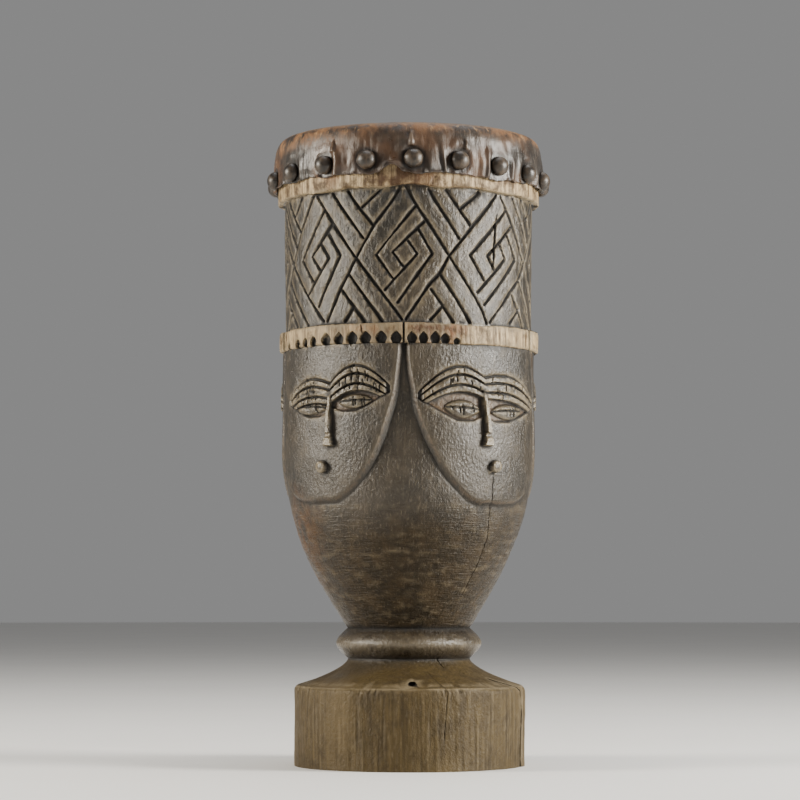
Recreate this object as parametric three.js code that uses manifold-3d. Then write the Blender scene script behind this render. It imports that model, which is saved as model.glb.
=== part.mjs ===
// A single-headed goblet drum: a hollow log body with carved faces and a carved interlace panel,
// a rawhide head drawn over the rim, and wooden pegs that hold the hide to the collar.
// Millimetres, +Z up, origin on the axis at the underside of the foot. Angle 0 faces -Y, and angles grow
// towards +X.

import * as THREE from "three";
import { mergeVertices } from "three/addons/utils/BufferGeometryUtils.js";
import Module from "manifold-3d";

const wasm = await Module();
wasm.setup();

// Driving sizes of the body, each level measured up from the floor
const FOOT_RADIUS = 126;
const FOOT_HEIGHT = 82;
const FOOT_SHOULDER = 5.5;
const RING_BOTTOM = 116.5;
const RING_HEIGHT = 33;
const RING_BULGE = 12.8;
const WAIST_RADIUS = 66;
const BELLY_TOP = 305;
const BELLY_RADIUS = 132.5;
const BAND_BOTTOM = 450.5;
const BAND_HEIGHT = 21.5;
const BAND_PROUD = 6;
const PANEL_RADIUS = 135.5;
const PANEL_HEIGHT = 142;
const COLLAR_PROUD = 9;
const COLLAR_HEIGHT = 69;
const RIM_ROUNDING = 8;
const RIM_INNER_CHAMFER = 6;

// Driving sizes of the hollow
const WALL = 22;
const BOWL_FLOOR = 172;
const BOWL_THICKENING = 0.6;
const THROAT_RADIUS = 24;
const FOOT_WALL = 26;
const FOOT_CAVITY = 44;
const FOOT_CAVITY_SLOPE = 34;
const INNER_CHAMFER = 6;

// Driving sizes of the rawhide and the pegs
const HIDE_THICKNESS = 2.4;
const HIDE_HEM_ABOVE_COLLAR_EDGE = 16;
const PEG_COUNT = 18;
const PEG_ABOVE_COLLAR_EDGE = 24;
const PEG_RISE = 7;
const PEG_FIRST_ANGLE = 2;
const PEG_DRIFT = 2;
const PEG_SHAFT_RADIUS = 4.2;
const PEG_DEPTH = 20;
const PEG_HEAD_RADIUS = 11;
const PEG_HEAD_HEIGHT = 11;
const FIT_GAP = 0.35;

// Driving sizes of the carved faces, widths measured along the curve of the drum
const FACE_COUNT = 5;
const FIRST_FACE_ANGLE = -37.5;
const FRONT_FACE_PITCH = 74;
const FACE_HALF_WIDTH = 84;
const FACE_HEIGHT = 165;
const FACE_PROUD = 6.5;
const FACE_EDGE_SPREAD = 9;
const CHIN_FALL = 5.5;
const CHIN_HALF_WIDTH = 10;
const BROW_RIDGES = 3;
const BROW_LEVEL = 405;
const BROW_PITCH = 7.5;
const BROW_RISE = 23;
const BROW_RISE_STEP = 4.9;
const BROW_PROUD = 2.6;
const BROW_WIDTH = 6.5;
const TEMPLE_LEVEL = 394;
const TEMPLE_PITCH = 2.5;
const SOCKET_DEPTH = 3;
const SOCKET_MARGIN = 4.5;
const EYE_LEVEL = 382;
const EYE_FROM = 0.1;
const EYE_TO = 0.66;
const EYE_HALF_HEIGHT = 8.5;
const EYE_CORNER = 1.5;
const EYE_PROUD = 3;
const SLIT_DEPTH = 1.8;
const NOSE_TIP_LEVEL = 343;
const NOSE_WIDTH = 9;
const NOSE_BRIDGE_WIDTH = 4.6;
const NOSE_PROUD = 8.5;
const MOUTH_LEVEL = 321;
const MOUTH_RADIUS = 6.5;
const MOUTH_PROUD = 7;

// Driving sizes of the interlace, the notched headband and the vent in the foot
const KNOT_COUNT = 8;
const KNOTS_IN_FULL = 1;
const GROOVE_WIDTH = 3.6;
const GROOVE_DEPTH = 3.2;
const GROOVE_MARGIN = 3;
const NOTCH_COUNT = 14;
const NOTCH_FIRST_ANGLE = -68;
const NOTCH_PITCH = 6.9;
const NOTCH_WIDTH = 9;
const NOTCH_HEIGHT = 11.5;
const BAND_GAP = 3;
const VENT_RADIUS = 5;
const VENT_DEPTH = 16;
const VENT_ANGLE = 2;
const VENT_ABOVE_FOOT = 8.5;

// Facets
const SIDES = 24;
const FACET = 360 / SIDES;
const CHEEK_ROWS = 4;
const PEG_SIDES = 8;
const HOLE_SIDES = 6;

// Worked-out levels and radii
const RING_TOP = RING_BOTTOM + RING_HEIGHT;
const BAND_TOP = BAND_BOTTOM + BAND_HEIGHT;
const PANEL_TOP = BAND_TOP + PANEL_HEIGHT;
const RIM_TOP = PANEL_TOP + COLLAR_HEIGHT;
const BAND_RADIUS = PANEL_RADIUS + BAND_PROUD;
const COLLAR_RADIUS = PANEL_RADIUS + COLLAR_PROUD;
const PANEL_INNER_RADIUS = PANEL_RADIUS - WALL;
const FACE_ROOT = BELLY_RADIUS - WALL / 2;
const FACE_BOTTOM = BAND_BOTTOM - FACE_HEIGHT;
const HIDE_INNER_RADIUS = COLLAR_RADIUS + FIT_GAP;
const HIDE_OUTER_RADIUS = HIDE_INNER_RADIUS + HIDE_THICKNESS;

// Solids and geometries

function solid(geometry) {
  const bare = new THREE.BufferGeometry();
  const source = geometry.index ? geometry.toNonIndexed() : geometry;
  bare.setAttribute("position", source.getAttribute("position"));
  const merged = mergeVertices(bare, 1e-4);
  return new wasm.Manifold(
    new wasm.Mesh({
      numProp: 3,
      vertProperties: merged.attributes.position.array,
      triVerts: new Uint32Array(merged.index.array),
    }),
  );
}

function geometryOf(manifold) {
  const mesh = manifold.getMesh();
  const geometry = new THREE.BufferGeometry();
  geometry.setAttribute("position", new THREE.BufferAttribute(mesh.vertProperties, 3));
  geometry.setIndex(new THREE.BufferAttribute(mesh.triVerts, 1));
  return geometry;
}

function indexed(points, triangles) {
  const geometry = new THREE.BufferGeometry();
  geometry.setAttribute("position", new THREE.Float32BufferAttribute(points.flat(), 3));
  geometry.setIndex(triangles);
  return geometry;
}

function joined(manifolds) {
  return manifolds.reduce((all, next) => all.add(next));
}

// A solid of revolution about Z from [radius, height] pairs that run up the outside and down the inside
function turned(profile, sides = SIDES) {
  const points = profile.map(([radius, height]) => new THREE.Vector2(radius, height));
  const geometry = new THREE.LatheGeometry(points, sides);
  return geometry.rotateX(Math.PI / 2);
}

function degrees(turn) {
  return THREE.MathUtils.radToDeg(turn);
}

// The frame at an angle round the drum: X along the surface, Y up, Z outwards
function outwardFrame(angle, level = 0) {
  const a = THREE.MathUtils.degToRad(angle);
  const along = new THREE.Vector3(Math.cos(a), Math.sin(a), 0);
  const up = new THREE.Vector3(0, 0, 1);
  const out = new THREE.Vector3(Math.sin(a), -Math.cos(a), 0);
  return new THREE.Matrix4().makeBasis(along, up, out).setPosition(0, 0, level);
}

function onDrum(angle, level, radius) {
  const a = THREE.MathUtils.degToRad(angle);
  return [radius * Math.sin(a), -radius * Math.cos(a), level];
}

// A flat outline of [x, height] pairs carried outwards between two distances from the axis
function radialPrism(outline, angle, from, to) {
  const shape = new THREE.Shape(outline.map(([x, y]) => new THREE.Vector2(x, y)));
  const geometry = new THREE.ExtrudeGeometry(shape, { depth: to - from, bevelEnabled: false });
  geometry.translate(0, 0, from);
  return solid(geometry.applyMatrix4(outwardFrame(angle)));
}

function steps(count, make) {
  return Array.from({ length: count + 1 }, (_, i) => make(i / count));
}

// Profiles of the body

function flareRadius(t) {
  return WAIST_RADIUS + (FOOT_RADIUS - FOOT_SHOULDER - WAIST_RADIUS) * (1 - t) ** 1.6;
}

function flareRadiusAt(level) {
  const bottom = FOOT_HEIGHT + FOOT_SHOULDER;
  return flareRadius((level - bottom) / (RING_BOTTOM - bottom));
}

function ringRadius(t) {
  return WAIST_RADIUS + RING_BULGE * Math.sin(Math.PI * t);
}

function bellyRadius(t) {
  return WAIST_RADIUS + (BELLY_RADIUS - WAIST_RADIUS) * (1 - (1 - t) ** 1.6);
}

function bellyRadiusAt(level) {
  const t = (level - RING_TOP) / (BELLY_TOP - RING_TOP);
  return bellyRadius(Math.min(1, Math.max(0, t)));
}

function outerProfile() {
  const flareBottom = FOOT_HEIGHT + FOOT_SHOULDER;
  const flare = steps(3, (t) => [flareRadius(t), flareBottom + (RING_BOTTOM - flareBottom) * t]);
  const ring = steps(4, (t) => [ringRadius(t), RING_BOTTOM + RING_HEIGHT * t]);
  const belly = steps(5, (t) => [bellyRadius(t), RING_TOP + (BELLY_TOP - RING_TOP) * t]);
  const rim = steps(2, (t) => [
    COLLAR_RADIUS - RIM_ROUNDING * (1 - Math.cos((Math.PI / 2) * t)),
    RIM_TOP - RIM_ROUNDING * (1 - Math.sin((Math.PI / 2) * t)),
  ]);
  return [
    [FOOT_RADIUS, 0],
    [FOOT_RADIUS, FOOT_HEIGHT],
    ...flare,
    ...ring.slice(1),
    ...belly.slice(1),
    [BELLY_RADIUS, BAND_BOTTOM],
    [BAND_RADIUS, BAND_BOTTOM],
    [BAND_RADIUS, BAND_TOP],
    [PANEL_RADIUS, BAND_TOP],
    [PANEL_RADIUS, PANEL_TOP],
    [COLLAR_RADIUS, PANEL_TOP],
    ...rim,
  ];
}

function innerProfile() {
  const bowl = steps(2, (t) => {
    const level = BELLY_TOP + (BOWL_FLOOR - BELLY_TOP) * t;
    return [bellyRadiusAt(level) - WALL * (1 + BOWL_THICKENING * t), level];
  });
  return [
    [PANEL_INNER_RADIUS + RIM_INNER_CHAMFER, RIM_TOP],
    [PANEL_INNER_RADIUS, RIM_TOP - RIM_INNER_CHAMFER],
    [PANEL_INNER_RADIUS, BAND_TOP],
    ...bowl,
    [THROAT_RADIUS, BOWL_FLOOR - INNER_CHAMFER],
    [THROAT_RADIUS, FOOT_CAVITY + FOOT_CAVITY_SLOPE],
    [FOOT_RADIUS - FOOT_WALL, FOOT_CAVITY],
    [FOOT_RADIUS - FOOT_WALL, 0],
  ];
}

function turnedBody() {
  const outer = outerProfile();
  return solid(turned([...outer, ...innerProfile(), outer[0]]));
}

// The carved faces

function faceAngle(i) {
  const backPitch = (360 - FRONT_FACE_PITCH) / (FACE_COUNT - 1);
  return i === 0 ? FIRST_FACE_ANGLE : FIRST_FACE_ANGLE + FRONT_FACE_PITCH + (i - 1) * backPitch;
}

// Radius of the face's own surface: fullest at the cheeks, and falling in towards brow and chin
function faceRadius(level) {
  const t = (level - FACE_BOTTOM) / FACE_HEIGHT;
  const chin = Math.max(0, 1 - t / 0.4);
  return BELLY_RADIUS + FACE_PROUD - CHIN_FALL * chin ** 2 - 2 * Math.max(0, t - 0.45);
}

function faceHalfWidth(level) {
  const t = Math.min(1, Math.max(0, (BAND_BOTTOM - level) / FACE_HEIGHT));
  return Math.max(CHIN_HALF_WIDTH, FACE_HALF_WIDTH * Math.sqrt(1 - t * t));
}

// The rows of a face from the headband down to the chin. Each gives a level and a height above the
// face's surface for a share c of the half-width, from 0 at the nose to 1 at the edge.
function faceRows() {
  const eye = (c) => {
    const t = (c - EYE_FROM) / (EYE_TO - EYE_FROM);
    return t > 0 && t < 1 ? Math.sin(Math.PI * t) : 0;
  };
  const lid = (c) => EYE_CORNER + (EYE_HALF_HEIGHT - EYE_CORNER) * eye(c);
  const brow = (ridge) => (c) => {
    const inner = BROW_LEVEL - BROW_PITCH * ridge;
    const outer = TEMPLE_LEVEL - TEMPLE_PITCH * ridge;
    return inner + (outer - inner) * c + (BROW_RISE - BROW_RISE_STEP * ridge) * Math.sin(Math.PI * c);
  };
  const flat = () => 0;
  const ridgeHeight = (c) => BROW_PROUD * (1 - 0.6 * c ** 3);
  const socket = (c) => (c < 1 ? -SOCKET_DEPTH : 0);
  const lidHeight = (c) => socket(c) + EYE_PROUD * eye(c);
  const rows = [
    [() => BAND_BOTTOM + BAND_HEIGHT / 4, flat],
    [(c) => brow(0)(c) + BROW_WIDTH / 2, flat],
  ];
  for (let ridge = 0; ridge < BROW_RIDGES; ridge++) {
    if (ridge > 0) rows.push([brow(ridge - 0.5), flat]);
    rows.push([brow(ridge), ridgeHeight]);
  }
  rows.push(
    [brow(BROW_RIDGES - 0.5), socket],
    [(c) => EYE_LEVEL + lid(c), socket],
    [(c) => EYE_LEVEL + lid(c) / 2, lidHeight],
    [() => EYE_LEVEL, (c) => lidHeight(c) - SLIT_DEPTH * eye(c)],
    [(c) => EYE_LEVEL - lid(c) / 2, lidHeight],
    [(c) => EYE_LEVEL - lid(c), socket],
    [(c) => EYE_LEVEL - lid(c) - SOCKET_MARGIN, flat],
  );
  const cheekTop = EYE_LEVEL - EYE_HALF_HEIGHT - SOCKET_MARGIN;
  for (let i = 1; i <= CHEEK_ROWS; i++) {
    const share = (1 - i / CHEEK_ROWS) ** 1.5;
    rows.push([() => FACE_BOTTOM + (cheekTop - FACE_BOTTOM) * share, flat]);
  }
  return rows;
}

// A face as a slab: its carved front, a plain back inside the drum's wall, and slanting edges
function facePlate(angle) {
  const eyeColumns = steps(3, (t) => EYE_FROM + (EYE_TO - EYE_FROM) * t);
  const half = [...eyeColumns, 1];
  const columns = [...half.map((c) => -c).reverse(), 0, ...half];
  const rows = faceRows();
  const front = [];
  const back = [];
  rows.forEach(([levelOf, proudOf], r) => {
    const width = faceHalfWidth(levelOf(1));
    const drop = r === rows.length - 1 ? FACE_EDGE_SPREAD : 0;
    for (const c of columns) {
      const level = levelOf(Math.abs(c));
      const turn = (width * c) / (BELLY_RADIUS + FACE_PROUD);
      const spread = (FACE_EDGE_SPREAD * c) / FACE_ROOT;
      front.push(onDrum(angle + degrees(turn), level, faceRadius(level) + proudOf(Math.abs(c))));
      back.push(onDrum(angle + degrees(turn + spread), level - drop, FACE_ROOT));
    }
  });
  return solid(slabGeometry(front, back, columns.length, rows.length));
}

// A closed slab between two grids of the same size, the front one seen from outside
function slabGeometry(front, back, wide, high) {
  const at = (r, c) => r * wide + c;
  const offset = front.length;
  const triangles = [];
  const quad = (p, q, r, s) => triangles.push(p, q, r, p, r, s);
  for (let r = 0; r + 1 < high; r++) {
    for (let c = 0; c + 1 < wide; c++) {
      quad(at(r, c), at(r + 1, c), at(r + 1, c + 1), at(r, c + 1));
      quad(offset + at(r, c + 1), offset + at(r + 1, c + 1), offset + at(r + 1, c), offset + at(r, c));
    }
    quad(at(r, 0), offset + at(r, 0), offset + at(r + 1, 0), at(r + 1, 0));
    quad(at(r + 1, wide - 1), offset + at(r + 1, wide - 1), offset + at(r, wide - 1), at(r, wide - 1));
  }
  for (let c = 0; c + 1 < wide; c++) {
    quad(at(0, c + 1), offset + at(0, c + 1), offset + at(0, c), at(0, c));
    quad(at(high - 1, c), offset + at(high - 1, c), offset + at(high - 1, c + 1), at(high - 1, c + 1));
  }
  return indexed([...front, ...back], triangles);
}

// The nose: a narrow bridge that widens into a blunt tip, deepest just above it
function nose(angle) {
  const nostril = NOSE_TIP_LEVEL + NOSE_WIDTH;
  const bridge = BROW_LEVEL - BROW_PITCH;
  const stations = [
    [NOSE_TIP_LEVEL, NOSE_WIDTH, NOSE_PROUD * 0.75],
    [nostril, NOSE_WIDTH, NOSE_PROUD],
    [nostril + NOSE_WIDTH / 2, NOSE_BRIDGE_WIDTH, NOSE_PROUD * 0.8],
    [bridge, NOSE_BRIDGE_WIDTH, BROW_PROUD],
  ];
  const front = [];
  const back = [];
  for (const [level, width, proud] of stations.reverse()) {
    for (const side of [-0.5, -0.3, 0.3, 0.5]) {
      const turn = angle + degrees((side * width) / BELLY_RADIUS);
      const edge = Math.abs(side) === 0.5 ? -SOCKET_DEPTH : proud;
      front.push(onDrum(turn, level, faceRadius(level) + edge));
      back.push(onDrum(turn, level, FACE_ROOT));
    }
  }
  return solid(slabGeometry(front, back, 4, stations.length));
}

function mouth(angle) {
  const tip = faceRadius(MOUTH_LEVEL) + MOUTH_PROUD;
  const knob = new THREE.CylinderGeometry(MOUTH_RADIUS * 0.8, MOUTH_RADIUS, tip - FACE_ROOT, 6);
  knob.rotateX(Math.PI / 2).translate(0, MOUTH_LEVEL, (tip + FACE_ROOT) / 2);
  return solid(knob.applyMatrix4(outwardFrame(angle)));
}

function carvedFaces() {
  const angles = Array.from({ length: FACE_COUNT }, (_, i) => faceAngle(i));
  return angles.flatMap((angle) => [facePlate(angle), nose(angle), mouth(angle)]);
}

// Cuts into the body

// A V-shaped cutter along a straight line from one [angle, level] to another on the drum
function grooveCutter([fromAngle, fromLevel], [toAngle, toLevel], radius) {
  const levelAt = (a) => fromLevel + ((toLevel - fromLevel) * (a - fromAngle)) / (toAngle - fromAngle);
  const low = Math.min(fromAngle, toAngle);
  const high = Math.max(fromAngle, toAngle);
  const stops = [low];
  for (let a = Math.ceil((low + 0.5) / FACET) * FACET; a < high - 0.5; a += FACET) stops.push(a);
  stops.push(high);
  const along = THREE.MathUtils.degToRad(toAngle - fromAngle) * radius;
  const rise = toLevel - fromLevel;
  const length = Math.hypot(along, rise);
  const lift = 1;
  const half = (GROOVE_WIDTH / 2) * (1 + lift / GROOVE_DEPTH);
  const sideAngle = THREE.MathUtils.radToDeg((half * -rise) / length / radius);
  const sideLevel = (half * along) / length;
  const points = [];
  for (const a of stops) {
    // The surface between two facet edges is flat, so its radius dips there
    const off = THREE.MathUtils.degToRad((((a % FACET) + FACET) % FACET) - FACET / 2);
    const flat = (radius * Math.cos(THREE.MathUtils.degToRad(FACET / 2))) / Math.cos(off);
    points.push(onDrum(a - sideAngle, levelAt(a) - sideLevel, flat + lift));
    points.push(onDrum(a + sideAngle, levelAt(a) + sideLevel, flat + lift));
    points.push(onDrum(a, levelAt(a), flat - GROOVE_DEPTH));
  }
  const faces = [[0, 1, 2]];
  for (let i = 0; i + 1 < stops.length; i++) {
    for (let k = 0; k < 3; k++) {
      const here = [3 * i + k, 3 * i + ((k + 1) % 3)];
      const next = here.map((v) => v + 3);
      faces.push([here[0], next[0], here[1]], [here[1], next[0], next[1]]);
    }
  }
  const last = points.length;
  faces.push([last - 1, last - 2, last - 3]);
  const runsForward = toAngle > fromAngle;
  return solid(indexed(points, faces.flatMap((f) => (runsForward ? f : f.reverse()))));
}

// One knot's grooves, as runs of [turn, rise]: turn in shares of the pitch from the knot's middle,
// rise in shares of the panel from its lower edge
function knotGrooves(plain) {
  const longStrands = [
    [[-0.06, 1], [0.94, 0]],
    [[0.89, 1], [0.09, 0]],
  ];
  const strandsPassingUnder = [
    [[0.18, 1], [0.53, 0.63]],
    [[0.37, 1], [0.64, 0.74]],
    [[0.33, 0.36], [0.7, 0]],
    [[0.27, 0.22], [0.51, 0]],
  ];
  const diamond = [
    [[0.07, 0.87], [-0.3, 0.53], [-0.08, 0.29]],
    [[0.09, 0.69], [0.29, 0.51], [-0.03, 0.1]],
  ];
  if (plain) return [...longStrands, ...diamond];
  const innerDiamond = [
    [[0.15, 0.74], [-0.13, 0.52], [0.03, 0.39]],
    [[0.01, 0.61], [0.13, 0.51], [-0.13, 0.22]],
  ];
  return [...longStrands, ...strandsPassingUnder, ...diamond, ...innerDiamond];
}

function interlaceCutters() {
  const pitch = 360 / KNOT_COUNT;
  const height = PANEL_HEIGHT - 2 * GROOVE_MARGIN;
  const place = (knot, [turn, rise]) => [(knot + turn) * pitch, BAND_TOP + GROOVE_MARGIN + rise * height];
  const cutters = [];
  for (let knot = 0; knot < KNOT_COUNT; knot++) {
    const fromFront = Math.min(knot, KNOT_COUNT - knot);
    for (const run of knotGrooves(fromFront > KNOTS_IN_FULL)) {
      for (let i = 0; i + 1 < run.length; i++) {
        cutters.push(grooveCutter(place(knot, run[i]), place(knot, run[i + 1]), PANEL_RADIUS));
      }
    }
  }
  return joined(cutters);
}

function headbandCutters() {
  const under = BAND_BOTTOM - 1;
  const cutters = [];
  for (let i = 0; i < NOTCH_COUNT; i++) {
    const outline = [
      [-NOTCH_WIDTH / 2, under],
      [NOTCH_WIDTH / 2, under],
      [0, BAND_BOTTOM + NOTCH_HEIGHT],
    ];
    const angle = NOTCH_FIRST_ANGLE + i * NOTCH_PITCH;
    cutters.push(radialPrism(outline, angle, PANEL_RADIUS + 1, COLLAR_RADIUS + BAND_PROUD));
  }
  for (let i = 0; i < FACE_COUNT; i++) {
    const next = i + 1 < FACE_COUNT ? faceAngle(i + 1) : faceAngle(0) + 360;
    const between = (faceAngle(i) + next) / 2;
    const slot = [
      [-BAND_GAP / 2, under],
      [BAND_GAP / 2, under],
      [BAND_GAP / 2, BAND_TOP + 1],
      [-BAND_GAP / 2, BAND_TOP + 1],
    ];
    cutters.push(radialPrism(slot, between, PANEL_RADIUS + 1.5, COLLAR_RADIUS + BAND_PROUD));
  }
  return joined(cutters);
}

// The pegs were set by eye: the row drifts round a little and climbs towards the front and the back
function pegPlace(i) {
  const even = PEG_FIRST_ANGLE + (i * 360) / PEG_COUNT;
  const a = THREE.MathUtils.degToRad(even);
  const angle = even - PEG_DRIFT * (0.8 * Math.sin(a) + 1 - Math.cos(a));
  return outwardFrame(angle, PANEL_TOP + PEG_ABOVE_COLLAR_EDGE + PEG_RISE * Math.cos(a) ** 2);
}

// A peg's tapering shaft, from its point in the wall out to a distance from the axis
function pegShaft(to) {
  const tip = COLLAR_RADIUS - PEG_DEPTH;
  return [[0, tip], [(PEG_SHAFT_RADIUS * (to - tip)) / (HIDE_OUTER_RADIUS - tip), to]];
}

function pegHoles() {
  const to = HIDE_OUTER_RADIUS + PEG_HEAD_HEIGHT;
  const [[, tip], [wide]] = pegShaft(to);
  const radius = (wide + FIT_GAP) / Math.cos(Math.PI / HOLE_SIDES);
  const clearance = (FIT_GAP * (to - tip)) / wide;
  const holes = Array.from({ length: PEG_COUNT }, (_, i) => {
    const hole = turned([[0, tip - clearance], [radius, to], [0, to]], HOLE_SIDES);
    return solid(hole.applyMatrix4(pegPlace(i)));
  });
  return joined(holes);
}

function footVent() {
  const level = FOOT_HEIGHT + FOOT_SHOULDER + VENT_ABOVE_FOOT;
  const drill = new THREE.CylinderGeometry(VENT_RADIUS, VENT_RADIUS, 2 * VENT_DEPTH, 8);
  const [x, y] = onDrum(VENT_ANGLE, level, flareRadiusAt(level));
  return solid(drill.rotateX(Math.PI / 2).translate(x, y, level));
}

function body() {
  return joined([turnedBody(), ...carvedFaces()])
    .subtract(interlaceCutters())
    .subtract(headbandCutters())
    .subtract(pegHoles())
    .subtract(footVent());
}

// The rawhide head

function hide() {
  const hem = PANEL_TOP + HIDE_HEM_ABOVE_COLLAR_EDGE;
  const over = (offset) =>
    steps(2, (t) => [
      COLLAR_RADIUS + offset - (RIM_ROUNDING + offset) * (1 - Math.cos((Math.PI / 2) * t)),
      RIM_TOP + offset - (RIM_ROUNDING + offset) * (1 - Math.sin((Math.PI / 2) * t)),
    ]);
  const outer = over(FIT_GAP + HIDE_THICKNESS);
  const inner = over(FIT_GAP).reverse();
  const outside = [[HIDE_OUTER_RADIUS, hem], ...outer, [0, RIM_TOP + FIT_GAP + HIDE_THICKNESS]];
  const inside = [[0, RIM_TOP + FIT_GAP], ...inner, [HIDE_INNER_RADIUS, hem]];
  return solid(turned([...inside, ...outside])).subtract(pegHoles());
}

// The pegs

function peg() {
  const seat = HIDE_OUTER_RADIUS + FIT_GAP;
  const profile = [
    ...pegShaft(seat),
    [PEG_HEAD_RADIUS, seat + PEG_HEAD_HEIGHT * 0.3],
    [PEG_HEAD_RADIUS * 0.7, seat + PEG_HEAD_HEIGHT * 0.85],
    [0, seat + PEG_HEAD_HEIGHT],
  ];
  return geometryOf(solid(turned(profile, PEG_SIDES)));
}

// The drum

function finish(color, roughness) {
  return new THREE.MeshStandardMaterial({ color, roughness, metalness: 0 });
}

const wood = finish(0x4a3a2c, 0.5);
const rawhide = finish(0x6b4a33, 0.55);
const pegWood = finish(0x3a332b, 0.4);

const drum = new THREE.Group();

function place(name, geometry, material) {
  const mesh = new THREE.Mesh(geometry, material);
  mesh.name = name;
  drum.add(mesh);
  return mesh;
}

place("drum_body", geometryOf(body()), wood);
place("drum_hide", geometryOf(hide()), rawhide);
for (let i = 0; i < PEG_COUNT; i++) {
  const mesh = place(`peg_${String(i + 1).padStart(2, "0")}`, peg(), pegWood);
  mesh.applyMatrix4(pegPlace(i));
}

export default drum;
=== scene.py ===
"""The dressed drum: a carved wood body, a rawhide head and wooden pegs, standing on a pale floor.

Sizes are in millimetres and angles in degrees until a mesh is made. Angle 0 faces -Y, and angles grow
towards +X. Heights are measured up from the floor.
"""
import math

import bpy
import numpy as np
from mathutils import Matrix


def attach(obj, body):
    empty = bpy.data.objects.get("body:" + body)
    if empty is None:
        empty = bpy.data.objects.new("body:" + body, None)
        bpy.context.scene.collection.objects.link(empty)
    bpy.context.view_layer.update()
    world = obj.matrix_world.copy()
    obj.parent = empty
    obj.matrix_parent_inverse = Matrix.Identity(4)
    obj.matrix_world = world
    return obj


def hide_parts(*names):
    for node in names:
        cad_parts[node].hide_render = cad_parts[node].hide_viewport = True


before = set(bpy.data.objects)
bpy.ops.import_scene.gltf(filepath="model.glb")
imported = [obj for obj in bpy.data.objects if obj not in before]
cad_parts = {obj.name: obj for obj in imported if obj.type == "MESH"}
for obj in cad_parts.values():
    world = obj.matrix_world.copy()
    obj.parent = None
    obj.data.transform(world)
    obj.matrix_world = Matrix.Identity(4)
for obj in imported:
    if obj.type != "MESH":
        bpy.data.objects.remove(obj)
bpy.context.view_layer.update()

MM = 0.001

# Sizes of the body
FOOT_RADIUS = 126
FOOT_HEIGHT = 82
FOOT_SHOULDER = 5.5
RING_BOTTOM = 116.5
RING_TOP = 149.5
RING_BULGE = 12.8
WAIST_RADIUS = 66
BELLY_TOP = 305
BELLY_RADIUS = 132.5
BAND_BOTTOM = 450.5
BAND_TOP = 472
BAND_PROUD = 6
PANEL_RADIUS = 135.5
PANEL_TOP = 614
COLLAR_RADIUS = 144.3
BODY_TOP = 680
EDGE_ROUNDING = 2.2

# Sizes of the hollow
WALL = 22
BOWL_FLOOR = 172
THROAT_RADIUS = 24
FOOT_INNER_RADIUS = 100
FOOT_CAVITY = 44
FOOT_CAVITY_SLOPE = 34

# Sizes of the faces
FACE_HEIGHT = 165
FACE_BOTTOM = BAND_BOTTOM - FACE_HEIGHT
FACE_PROUD = 6.5
FACE_EDGE_SLOPE = 4.5
FACE_ARC_RADIUS = 138

# Sizes of the interlace
KNOT_COUNT = 8
GROOVE_MARGIN = 2
GROOVE_HALF_WIDTH = 1.95
GROOVE_DEPTH = 3

# Sizes of the hide and the pegs
HIDE_THICKNESS = 2.2
HIDE_OUTER = 147.5
HIDE_HEM = 629.5
HIDE_SHOULDER = 666
HIDE_TOP = 685.6
HIDE_RIM_REACH = 13
PEG_COUNT = 18
PEG_LEVEL = 638
PEG_RISE = 7
PEG_FIRST_ANGLE = 2
PEG_DRIFT = 2
PEG_HEAD_RADIUS = 10.7
PEG_TIP = 124.6
PEG_BELLY = 149.4
PEG_CROWN = 158.4

# Mesh density
COLUMNS = 1080
FIELD_ROWS = 700
SHARP_ANGLE = 52
TURNS = -180 + np.arange(COLUMNS) * 360 / COLUMNS
BODY_TRIANGLES = 190000
HIDE_TRIANGLES = 110000


# Numbers over the grid

def unit(value):
    return np.clip(value, 0, 1)


def bell(value, width):
    return np.exp(-((value / width) ** 2))


def ramp(low, high, value):
    """A smooth step from 0 at low to 1 at high."""
    t = unit((value - low) / (high - low))
    return t * t * (3 - 2 * t)


def lerp(a, b, t):
    return a + (b - a) * t


def angle_from(centre, theta=TURNS):
    """Signed angle from a centre, in -180 to 180."""
    return (theta - centre + 540) % 360 - 180


def arc_from(centre, radius, theta=TURNS):
    """Distance round the drum from a centre angle."""
    return np.radians(angle_from(centre, theta)) * radius


def noise_field(seed, wide, tall):
    """Seeded smooth unevenness of unit size round the whole drum, in spots about wide by tall."""
    rng = np.random.default_rng(seed)
    turns = np.fft.fftfreq(COLUMNS, d=2 * math.pi * PANEL_RADIUS / COLUMNS)
    rises = np.fft.fftfreq(FIELD_ROWS, d=1)
    keep = np.exp(-2 * ((turns * wide) ** 2 + (rises[:, None] * tall) ** 2))
    field = np.fft.ifft2(np.fft.fft2(rng.standard_normal((FIELD_ROWS, COLUMNS))) * keep).real
    return field / field.std()


def uneven(z, seed, wide, tall):
    """That unevenness at each row's own level."""
    field = noise_field(seed, wide, tall)
    at = np.clip(z, 0, FIELD_ROWS - 2)
    low = at.astype(int)
    part = (at - low)[:, None]
    return field[low] * (1 - part) + field[low + 1] * part


def uneven_round(seed, wide):
    """Unevenness that changes only along the drum's girth."""
    return uneven(np.array([350]), seed, wide, 0.1)[0]


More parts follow.
